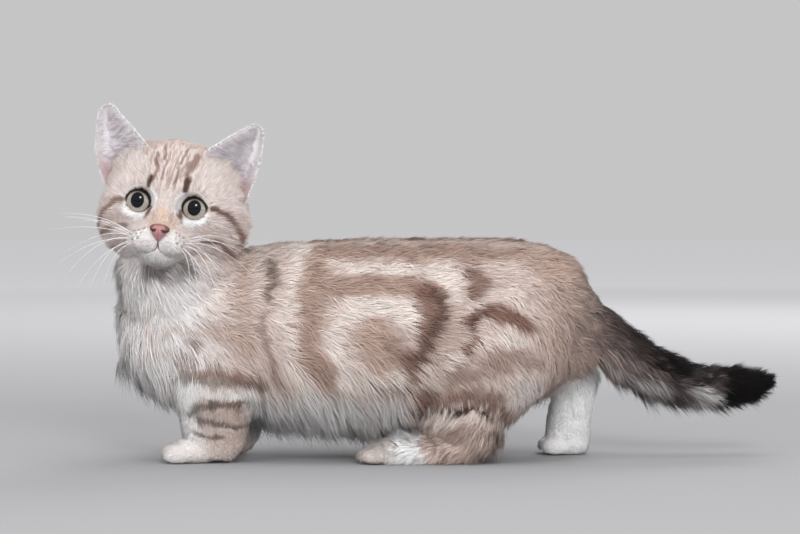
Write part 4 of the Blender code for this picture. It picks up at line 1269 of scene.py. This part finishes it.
def eyeMaterial():
    paint = Paint("eyeGlass")
    place = paint.node("Attribute", {"attribute_name": "place"}, {}, 1)
    across, up = (paint.node("SeparateXYZ", {}, {0: place}, k) for k in (0, 2))
    radius = (across * across + up * up) ** 0.5
    angle = up.math("ARCTAN2", across)
    pupil = ((across / 3.85) ** 2 + (up / 4.5) ** 2) ** 0.5
    lidReach = (across * across + (up + 1.3) * (up + 1.3)) ** 0.5
    spokes = {"X": angle.math("COSINE") * 9, "Y": angle.math("SINE") * 9, "Z": radius * 0.22}
    streak = paint.noise(paint.node("CombineXYZ", {}, spokes), 1.6, 5.0, Roughness=0.65)
    stops = [
        (0.25, tone(112, 106, 98)),
        (0.45, tone(154, 149, 140)),
        (0.6, tone(178, 172, 163)),
        (0.8, tone(206, 200, 191)),
    ]
    colour = paint.node("ValToRGB", {"stops": stops}, {"Fac": streak})
    warm = paint.ramp(pupil, 1.0, 1.5, 0.4, 0.0, "LINEAR")
    for amount, rgb in (
        (warm, (140, 136, 116)),
        (paint.ramp(radius, 6.0, 7.3), (40, 36, 32)),
        # painted shadow of the upper lid: the eye darker towards its top
        (paint.ramp(up, 0.8, 5.4, 0.0, 0.72), (44, 42, 38)),
        (paint.ramp(pupil, 0.93, 1.04, 1.0, 0.0), (3, 5, 14)),
        # the dark upper lid and its painted shadow over the top of the eye, as a dark crescent
        (paint.ramp(lidReach, 5.8, 6.6), (20, 15, 13)),
    ):
        colour = paint.mix(amount, colour, four(tone(*rgb)))
    values = {"Base Color": colour, "Roughness": 0.22, "Specular IOR Level": 0.0}
    values.update({"Coat Weight": 1.0, "Coat Roughness": 0.02, "Coat IOR": 1.42})
    return paint.finish(values)


furSkin = furMaterial("furSkin", grain=900.0, depth=0.25, roughness=0.62, shine=0.12, sheen=0.03, bump=0.7)
furCoat = furMaterial("furCoat", grain=1300.0, depth=0.12, roughness=0.56, shine=0.14, sheen=0.03, bump=0)
lidMaterial = plainMaterial("lidRim", grain=1500.0, depth=0.3, roughness=0.5, bump=0.3, gloss=0.08, soft=0.0)
noseMaterial = plainMaterial(
    "noseLeather", grain=1900.0, depth=0.25, roughness=0.5, bump=0.6, gloss=0.06, soft=0.04
)
earMaterial = plainMaterial("earSkin", grain=900.0, depth=0.12, roughness=0.5, bump=0.25, gloss=0.0, soft=0.3)
whiskerMaterial = plainMaterial(
    "whiskerHair", tone(240, 238, 236), grain=300.0, depth=0.1, roughness=0.3, bump=0.0, gloss=0.2, soft=0.0
)
eyeGlass = eyeMaterial()


def putPiece(item, material, replaced=()):
    choose(item)
    bpy.ops.object.shade_smooth()
    item.data.materials.clear()
    item.data.materials.append(material)
    setPoints(item, pointsOf(item) + shift)
    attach(item, "root")
    if replaced:
        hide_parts(*replaced)


# Eyes, lids, nose and lips

print("face")
for side, name in bothSides:
    eye = primitive("eyeball_" + name, "uv_sphere", segments=64, ring_count=40)
    own = pointsOf(eye) * mm * headSize["eyeRadius"]
    own = own @ np.array(Matrix.Rotation(math.radians(90), 3, "X")).T
    layer = eye.data.attributes.new("place", "FLOAT_VECTOR", "POINT")
    layer.data.foreach_set("vector", (own - (side * 0.25, 0, 0.05)).astype(np.float32).ravel())
    setPoints(eye, fromHead(own + (side * headSize["eyeSpacing"], headSize["eyeDepth"], 0.0)))
    putPiece(eye, eyeGlass, ["eye_" + name])


def ringTube(centres, radii, sides, closed=True):
    centres = np.asarray(centres, float)
    if closed:
        along = unit(np.roll(centres, -1, axis=0) - np.roll(centres, 1, axis=0))
    else:
        along = unit(np.gradient(centres, axis=0))
    reference = (0.0, -1.0, 0.0) if closed else (0.13, 0.2, 1.0)
    first = unit(np.cross(along, np.tile(reference, (len(centres), 1))))
    second = np.cross(along, first)
    angles = np.linspace(0, 2 * np.pi, sides, endpoint=False)[None, :, None]
    ways = np.cos(angles) * first[:, None] + np.sin(angles) * second[:, None]
    rings = centres[:, None] + radii[:, None, None] * ways
    count = len(centres)
    faces = ringFaces(count, sides, closed)
    if not closed:
        faces.append(tuple(range(sides))[::-1])
        faces.append(tuple((count - 1) * sides + k for k in range(sides)))
    return rings.reshape(-1, 3), faces


def onFace(across, up, start=-16.0):
    spots = np.column_stack([across, np.full(len(across), start), up])
    for _ in range(90):
        spots[:, 1] += 0.6 * headField(spots)
    return spots


rimSize = {
    "across": 6.85,
    "up": 6.05,
    "thickness": 0.32,
    "upper": 0.74,  # how much thicker the upper lid is
    "corner": 0.16,
    "steps": 96,
    "sides": 12,
}
turns = np.linspace(0, 2 * np.pi, rimSize["steps"], endpoint=False)
outerCorner = bell((turns + np.pi) % (2 * np.pi) - np.pi - 0.15, 0.4)
stretch = 1 + rimSize["corner"] * bell(turns - np.pi - 0.5, 0.26) + 0.05 * outerCorner
thickness = rimSize["thickness"] + rimSize["upper"] * np.clip(np.sin(turns), 0, 1) + 0.12 * outerCorner
for side, name in bothSides:
    across = side * (headSize["eyeSpacing"] + rimSize["across"] * stretch * np.cos(turns))
    centres = onFace(across, rimSize["up"] * stretch * np.sin(turns))
    centres[:, 1] = np.minimum(centres[:, 1], 3.0) + 0.15
    vertices, faces = ringTube(centres, thickness, rimSize["sides"])
    rim = solidPiece("lids_" + name, fromHead(vertices), faces)
    rimPoints = toHead(pointsOf(rim))
    lower = stepDown(rimPoints[:, 2], -3.5, 1.5)
    putColour(rim, laidOver(plain(rimPoints, tone(24, 18, 16)), (tone(158, 124, 114), 0.9 * lower)))
    putPiece(rim, lidMaterial, ["eyelids_" + name])

print("nose")
noseSize = {
    "voxel": 0.28,
    "smoothing": 6,
    "masses": [
        ((0, -11.0, -14.3), (5.7, 4.5, 2.7)),
        ((0, -12.2, -16.2), (4.0, 3.7, 3.3)),
        ((0, -11.6, -18.4), (1.9, 2.9, 2.6)),
    ],
    # nostrils: centre, radii and turn on one side
    "holes": [((2.9, -15.0, -15.9), (1.75, 2.4, 0.8), 30), ((4.3, -13.6, -15.5), (1.4, 2.0, 0.65), -8)],
}


def headLump(centre, radii, turn=0.0):
    made = ball("lump", (0, 0, 0), radii, turn)
    setPoints(made, fromHead(pointsOf(made) + centre))
    return made


nose = joinPieces([headLump(centre, radii) for centre, radii in noseSize["masses"]], "noseLeather")
modify(nose, "REMESH", mode="VOXEL", voxel_size=noseSize["voxel"] * mm)
for side in (-1, 1):
    for (across, depth, up), radii, turn in noseSize["holes"]:
        cutter = headLump((side * across, depth, up), radii, side * turn)
        modify(nose, "BOOLEAN", operation="DIFFERENCE", object=cutter, solver="MANIFOLD")
        bpy.data.objects.remove(cutter)
modify(nose, "SMOOTH", factor=0.5, iterations=noseSize["smoothing"])
across, depth, up = toHead(pointsOf(nose)).T
# where the nostrils are painted dark: painted shade in their hollows
nostril = bell(np.hypot((np.abs(across) - 3.3) / 1.7, (up + 15.9) / 0.85), 1.0)
noseColour = laidOver(
    plain(across, tone(172, 124, 124)),
    (tone(92, 62, 60), 0.85 * smoothStep(np.abs(across) + 0.6 * np.clip(up + 15.2, 0, 9), 3.3, 5.0)),
    (tone(130, 86, 80), 0.75 * smoothStep(up, -13.4, -12.2)),
    # painted shade: the nostrils darkened in their hollows
    (tone(58, 34, 34), 0.9 * nostril),
    (tone(130, 80, 84), 0.7 * (bell(across, 0.3) * (up < -15.0))),
)
putColour(nose, noseColour)
putPiece(nose, noseMaterial, ["nose"])

print("lips")
lipSize = {
    "radius": 0.28,
    "sunk": 0.85,
    "line": [(0.15, -19.6), (0.15, -22.5), (0.9, -25.8), (3.6, -27.7), (6.4, -28.6), (7.6, -28.6)],
}
lipLine = spline(lipSize["line"], 5)
lipHalves = []
for side in (-1, 1):
    spots = onFace(side * lipLine[:, 0], lipLine[:, 1])
    spots[:, 1] += lipSize["sunk"]
    taper = lipSize["radius"] * np.clip(np.linspace(1.3, 0.35, len(spots)), 0.3, 1)
    vertices, faces = ringTube(spots, taper, 8, closed=False)
    lipHalves.append(solidPiece("lip", fromHead(vertices), faces))
lips = joinPieces(lipHalves, "lips")
putColour(lips, plain(pointsOf(lips), tone(112, 84, 78)))
putPiece(lips, lidMaterial)

# Ears: a cupped sheet with a rounded rim, hair behind and long hair across the cup

print("ears")
earInner = [
    (11, 22, 20),
    (17.5, 24, 30.5),
    (26.5, 28, 38.5),
    (35, 32, 45.4),
    (39.8, 35.5, 49.0),
    (42.0, 37.0, 50.9),
    (43.8, 38.0, 52.1),
    (45.6, 38.6, 52.7),
]
earOuter = [
    (37, 30, 2),
    (42, 31, 9),
    (45.8, 32.5, 20),
    (48.6, 34.5, 31),
    (50.0, 36.5, 40),
    (50.3, 37.6, 45.4),
    (49.8, 38.2, 49.2),
    (48.2, 38.6, 51.7),
]
earSize = {
    "cup": (14.0, 13.0, 10.5, 8.0, 6.0, 4.0, 2.4, 1.2),
    "lean": {"left": 4.5, "right": 1.8},  # how far an ear is turned in at the top
    "tuck": {"left": 0.0, "right": 3.0},  # and at the foot of its outer edge
    "forward": 10.0,
    "thickness": 1.3,
    "rowSteps": 6,
    "columns": 30,
    "backHair": 3.2,
    "cupHair": 9.0,
    "rimHair": 2.6,
}


def earPaint(points, part):
    local = toHead(points)
    low = stepDown(local[:, 2], 12, 24) * smoothStep(np.abs(local[:, 0]), 30, 40)
    return laidOver(
        plain(points, tone(208, 204, 206)),
        (tone(214, 198, 197), 0.5 * stepDown(local[:, 2], 16, 38)),
        (tone(184, 146, 146), 0.7 * low),
    )


def earBackPaint(points, part):
    up = toHead(points)[:, 2]
    return laidOver(
        plain(points, "tan"),
        ("flank", 0.5 * smoothStep(ripple(points, 9, 71), -0.5, 1)),
        ("dark", 0.9 * smoothStep(up + 2 * ripple(points, 6, 72), 46, 51)),
    )


def earCupPaint(points, part):
    local = toHead(points)
    streaks = smoothStep(ripple(local * np.array((0.2, 0.5, 1)), 2.4, 75), 0.0, 1.0)
    low = stepDown(local[:, 2], 14, 27) * smoothStep(np.abs(local[:, 0]), 30, 38)
    return laidOver(
        plain(points, tone(214, 207, 210)),
        # the cup of the ear on the +x side is greyer all over: painted shade
        (tone(166, 158, 165), np.maximum(0.7 * streaks, 0.4 * (local[:, 0] > 0))),
        (tone(206, 164, 166), 0.6 * low),
    )


def earPale(points, part):
    return plain(points, tone(236, 230, 228))


def earSheets(side, name):
    size = earSize
    inner, outer = spline(earInner, size["rowSteps"]), spline(earOuter, size["rowSteps"])
    cups = spline(np.array(size["cup"])[:, None], size["rowSteps"])[:, 0]
    for edge in (inner, outer):
        edge[:, 0] -= size["lean"][name] * np.clip((edge[:, 2] - 8) / 40, 0, 1)
        edge[:, 1] -= size["forward"]
    outer[:, 0] -= size["tuck"][name] * stepDown(outer[:, 2], 4, 26)
    shares = np.linspace(0, 1, size["columns"])
    rows = len(inner)
    span = inner[:, None] + (outer - inner)[:, None] * shares[None, :, None]
    push = np.array((0.10, 1.0, -0.25))
    front = span + push * (cups[:, None] * np.sin(np.pi * shares)[None])[..., None]
    front += push * 0.1 * np.sin(shares * 9)[None, :, None] * np.linspace(1, 0, rows)[:, None, None]
    thin = size["thickness"] * np.linspace(1.2, 0.6, rows)
    back = front + push * thin[:, None, None]
    mirror = (side, 1, 1)
    return front * mirror, back * mirror, 0.5 * (inner + outer) * mirror, shares


def earShell(name, front, back):
    rows, columns = front.shape[:2]
    total = rows * columns
    faces = []
    for i in range(rows - 1):
        for k in range(columns - 1):
            a, b = i * columns + k, (i + 1) * columns + k
            faces.append((a, a + 1, b + 1, b))
            faces.append((total + a, total + b, total + b + 1, total + a + 1))
    right = [i * columns + columns - 1 for i in range(1, rows)]
    top = [(rows - 1) * columns + k for k in range(columns - 2, -1, -1)]
    border = [*range(columns), *right, *top, *[i * columns for i in range(rows - 2, 0, -1)]]
    for a, b in zip(border, border[1:] + border[:1]):
        faces.append((a, total + a, total + b, b))
    grid = np.concatenate([front.reshape(-1, 3), back.reshape(-1, 3)])
    ear = solidPiece("earShell_" + name, fromHead(grid), faces)
    modify(ear, "SUBSURF", levels=1)
    putColour(ear, earPaint(pointsOf(ear), None))
    putPiece(ear, earMaterial, ["ear_" + name])
    return np.array(border)


def earSheetHair(side, front, sheet, kind, shares):
    rows, columns = front.shape[:2]
    cells = [(i * columns + k, (i + 1) * columns + k) for i in range(rows - 1) for k in range(columns - 1)]
    a, b = np.array(cells).T
    triangles = np.vstack([np.column_stack([a, a + 1, b + 1]), np.column_stack([a, b + 1, b])])
    spread = np.meshgrid(np.linspace(0.02, 0.98, columns), np.linspace(0.02, 0.98, rows))
    flatUv = np.stack(spread, axis=2).reshape(-1, 2)
    shareAt = np.tile(shares, rows)
    rowAt = np.repeat(np.linspace(0, 1, rows), columns)
    towardTip = unit(np.gradient(front, axis=0).reshape(-1, 3))
    acrossCup = unit(np.gradient(front, axis=1).reshape(-1, 3))
    outward = unit(np.cross(towardTip, acrossCup))
    outward *= np.where(outward[:, 1:2] > 0, 1, -1) * (1 if kind == "back" else -1)
    even = 0 * rowAt
    if kind == "back":
        way = towardTip + 0.25 * acrossCup * (shareAt[:, None] - 0.5)
        inward = (0.12 + 0.88 * np.sin(np.pi * shareAt)) * (1 - 0.7 * smoothStep(rowAt, 0.86, 1.0))
        own = [(earSize["backHair"] - 1.0 * rowAt) * inward, 0.38 + even, 3.2 + even, 20 * inward, even]
        paint, towards = earBackPaint, (0, 0, 0)
    else:
        bottom = stepDown(rowAt, 0.08, 0.36)
        way = acrossCup + (0.15 + 1.1 * bottom)[:, None] * towardTip
        near = stepDown(shareAt, 0.2, 0.7) * (1 - 0.7 * smoothStep(rowAt, 0.45, 0.95))
        reach = earSize["cupHair"] * (1 - 0.5 * rowAt) * (1 - 0.8 * smoothStep(shareAt, 0.35, 0.95))
        own = [reach, 0.22 + even, 2.3 + 1.3 * near, 11 + 16 * bottom, even]
        paint, towards = earCupPaint, (0, -0.9, 0.3)
    spots = fromHead(sheet.reshape(-1, 3))
    fields = np.column_stack([unit(way) @ headAxes.T, *own])
    ups = outward @ headAxes.T
    surface = surfaceOf(spots, ups, triangles, fields, flatUv[triangles], paint, headAxes @ towards)
    return growHair(surface, fields[:, 5], 80 + side, kind == "cup")


def earRimHair(side, front, back, middles, border):
    # a fringe outwards from the middle of the ear, rooted on both sheets
    frontSpots, backSpots = front.reshape(-1, 3)[border], back.reshape(-1, 3)[border]
    both = np.concatenate([frontSpots, backSpots])
    outwards = unit(frontSpots - middles[border // front.shape[1]] + np.array((0, 0, 1.5)))
    outwards = np.concatenate([outwards, outwards])
    length = len(border)
    sides = np.repeat([-1.0, 1.0], length)[:, None]
    a = np.arange(length - 1)
    b = a + length
    strip = np.vstack([np.column_stack([a, b, b + 1]), np.column_stack([a, b + 1, a + 1])])
    low = smoothStep(both[:, 2], 6, 16)
    stem = np.ones(len(both))
    reach = earSize["rimHair"] * (1 - 0.3 * low) * (1 - 0.55 * (sides[:, 0] > 0))
    way = unit(outwards + (0, -0.3, 0.9)) @ headAxes.T
    fields = np.column_stack([way, reach, 0.24 * stem, 13.0 * stem, 8.0 * stem, 0 * stem])
    rimUv = np.column_stack([np.tile(np.linspace(0.02, 0.98, length), 2), np.repeat([0.2, 0.21], length)])
    ups = unit(0.3 * outwards + sides * (0, 0.9, -0.2)) @ headAxes.T
    surface = surfaceOf(fromHead(both), ups, strip, fields, rimUv[strip], earPale)
    return growHair(surface, fields[:, 5], 84 + side, False)


earHair = {"cup": [], "back": [], "rim": []}
for side, name in bothSides:
    front, back, middles, shares = earSheets(side, name)
    border = earShell(name, front, back)
    earHair["cup"].append(earSheetHair(side, front, front, "cup", shares))
    earHair["back"].append(earSheetHair(side, front, back, "back", shares))
    earHair["rim"].append(earRimHair(side, front, back, middles, border))
for kind, group in earHair.items():
    keys = ("vertices", "colours", "uvs", "shading")
    joined = {key: np.concatenate([hair[key] for hair in group]) for key in keys}
    joined["shape"] = group[0]["shape"]
    hairPiece("earHair" + kind.capitalize(), joined, np.ones(len(joined["vertices"]), bool))

# Whiskers and the long hairs over the eyes

print("whiskers")
whiskerRows = [
    # way out of the pad, tip
    ((0.78, -0.58, 0.30), (62, 6, -12)),
    ((0.84, -0.54, 0.08), (68, 8, -24)),
    ((0.82, -0.56, -0.16), (60, 4, -44)),
    ((0.70, -0.62, -0.38), (45, 0, -57)),
    ((0.62, -0.78, 0.04), (54, -4, -35)),
    ((0.80, -0.50, 0.20), (56, 4, -18)),
    ((0.74, -0.66, -0.10), (50, -8, -52)),
    ((0.60, -0.76, -0.26), (36, -6, -60)),
    ((0.86, -0.46, 0.16), (60, 12, -16)),
    ((0.55, -0.80, -0.40), (27, -4, -54)),
    ((0.66, -0.70, 0.22), (44, -6, -18)),
]
browRows = [
    # root, tip
    ((10.5, 1.2, 11.5), (20, -8, 34)),
    ((12.5, 1.8, 12.0), (27, -6, 33)),
    ((14.0, 2.4, 12.0), (32, -4, 27)),
]
whiskerSize = {
    "radius": 0.17,
    "tip": 0.04,
    "brow": 0.6,
    "steps": 14,
    "sides": 6,
    "rooted": 0.86,  # share of the pad's radius
    "elbow": 22.0,
    "droop": (-8, 0, -9),
}
hairs = []
chance = np.random.default_rng(91)
share = np.linspace(0, 1, whiskerSize["steps"])[:, None]
taper = whiskerSize["radius"] + (whiskerSize["tip"] - whiskerSize["radius"]) * share[:, 0]
padCentre, padRadii = headSize["pads"][0]
for side in (-1, 1):
    runs = []
    for way, tip in whiskerRows:
        way = unit(np.array(way))
        root = np.array(padCentre) + whiskerSize["rooted"] * np.array(padRadii) * way
        elbow = root + whiskerSize["elbow"] * way + (0, 0, 4.0)
        droop = whiskerSize["droop"] if side > 0 else (0, 0, 0)
        runs.append((root, elbow, np.array(tip, float) + droop + chance.normal(size=3) * 1.5, taper))
    for root, tip in browRows:
        root, tip = np.array(root), np.array(tip, float) + chance.normal(size=3)
        runs.append((root, (root + tip) / 2 + (0, -5, 2), tip, taper * whiskerSize["brow"]))
    for root, elbow, tip, radii in runs:
        line = (1 - share) ** 2 * root + 2 * share * (1 - share) * elbow + share**2 * tip
        vertices, faces = ringTube(line * (side, 1, 1), radii, whiskerSize["sides"], closed=False)
        hairs.append(solidPiece("whisker", fromHead(vertices), faces))
putPiece(joinPieces(hairs, "whiskers"), whiskerMaterial)

# The skin in place, then its coat

fleshNodes = ["head", "neck", "torso", "front_leg_left", "front_leg_right", "hind_leg_left", "hind_leg_right"]
fleshNodes += ["tail_base", "tail_middle", "tail_tip", "whisker_pad_left", "whisker_pad_right"]
putPiece(skin, furSkin, fleshNodes)

print("coat")
body = surfaceOf(points, softNormals, corners, fields[:, :8], skinUv, markings, part=part, bare=bare)
under = growHair(body, fields[:, 5] * coatSize["density"], 101, False)
over = growHair(body, fields[:, 7] * coatSize["guardDensity"], 102, True)
groups = {
    "coatNeck": ["neck"],
    "coatTail": ["tail"],
    "coatFrontLegs": ["frontLegLeft", "frontLegRight"],
    "coatHindLegs": ["hindLegLeft", "hindLegRight"],
}
for hair, ending in ((under, ""), (over, "Guard")):
    owner, root = hair["owner"], hair["root"]
    onHead = among(owner, "head")
    if not ending:
        atFront = toHead(root)[:, 1] < 18
        hairPiece("coatFace", hair, onHead & atFront)
        onHead = onHead & ~atFront
    hairPiece("coatHead" + ending, hair, onHead)
    for name, members in groups.items():
        hairPiece(name + ending, hair, among(owner, *members))
    onTorso = among(owner, "torso")
    foreHalf, nearSide = root[:, 0] < -45, root[:, 1] < 0
    hairPiece("coatShoulderNear" + ending, hair, onTorso & nearSide & foreHalf)
    hairPiece("coatFlankNear" + ending, hair, onTorso & nearSide & ~foreHalf)
    hairPiece("coatShoulderFar" + ending, hair, onTorso & ~nearSide & foreHalf)
    hairPiece("coatFlankFar" + ending, hair, onTorso & ~nearSide & ~foreHalf)

# Camera, floor and light

print("stage")
scene = bpy.context.scene
camera = bpy.data.objects.new("camera", bpy.data.cameras.new("camera"))
scene.collection.objects.link(camera)
tilt = math.radians(cameraSize["below"])
aim = np.array(cameraSize["aim"]) + shift
spot = aim + np.array((0, -math.cos(tilt), math.sin(tilt))) * cameraSize["distance"]
camera.location = (spot * mm).tolist()
camera.rotation_euler = (math.radians(90) - tilt, 0, 0)
camera.data.sensor_width = 36.0
camera.data.lens = 36.0 * cameraSize["distance"] / (cameraSize["pixel"] * 800)
camera.data.clip_start = 0.05
camera.data.clip_end = 50.0
scene.camera = camera
scene.view_settings.view_transform = "Standard"

stageSize = {
    "half": 20000.0,
    "world": 0.7,
    "near": 0.5,
    "far": 4.0,
    # painted light: how much the far floor glows
    "glow": (0.035, 0.035, 0.035),
    # painted shade on the floor towards the lamps, from lampStart to lampEnd
    "lampStart": -0.45,  # the floor darkens from here to lampEnd, in metres along Y
    "lampEnd": -1.8,
    "middle": (0.0, 0.0, 0.09),
}


def floorMaterial():
    paint = Paint("paleFloor")
    place = paint.objectPlace()
    distance = paint.node("VectorMath", {"operation": "LENGTH"}, {0: place}, 1)
    # painted light on the floor: darker near the cat, brighter and glowing far off, so that it meets the
    # backdrop evenly
    fade = paint.ramp(distance, stageSize["near"], stageSize["far"], kind="LINEAR")
    depth = paint.node("SeparateXYZ", {}, {0: place}, 1)
    # painted shade: the floor darker on the side of the lamps
    toLamps = paint.ramp(depth, stageSize["lampStart"], stageSize["lampEnd"], kind="LINEAR")
    colour = paint.mix(fade, four(tone(168, 168, 170)), four(tone(250, 250, 251)))
    return paint.finish(
        {
            "Base Color": paint.mix(toLamps, colour, four(tone(102, 102, 104))),
            "Roughness": paint.noise(place, 6.0, 2.0) * 0.1 + 0.75,
            "Specular IOR Level": 0.0,
            "Emission Color": paint.mix(fade, (0, 0, 0, 1), four(stageSize["glow"])),
            "Emission Strength": 1.0,
        }
    )


floorCorners = np.array([(-1, -1, 0), (1, -1, 0), (1, 1, 0), (-1, 1, 0)]) * stageSize["half"]
floor = newPiece("floor", floorCorners, [(0, 1, 2, 3)])
floor.data.materials.append(floorMaterial())
lights = [
    # name, azimuth, elevation, distance, size, watts
    ("key", 8, 27, 2.2, 0.5, 15.5),
    ("side", -42, 18, 2.4, 1.6, 20.0),
    ("low", 28, 4, 2.8, 1.6, 42.0),
    ("top", 10, 80, 2.2, 1.8, 15.0),
    ("rear", 160, 40, 2.6, 1.6, 22.0),
]
for name, azimuth, elevation, distance, size, watts in lights:
    a, e = math.radians(azimuth), math.radians(elevation)
    way = Vector((math.sin(a) * math.cos(e), -math.cos(a) * math.cos(e), math.sin(e)))
    lamp = bpy.data.lights.new(name, "AREA")
    lamp.shape = "SQUARE"
    lamp.size = size
    lamp.energy = watts
    made = bpy.data.objects.new(name, lamp)
    scene.collection.objects.link(made)
    made.location = Vector(stageSize["middle"]) + way * distance
    made.rotation_euler = way.to_track_quat("Z", "Y").to_euler()
    made.visible_glossy = name == "key"
scene.world = bpy.data.worlds.new("studio")
scene.world.use_nodes = True
background = scene.world.node_tree.nodes["Background"]
background.inputs[0].default_value = (0.80, 0.80, 0.81, 1)
background.inputs[1].default_value = stageSize["world"]
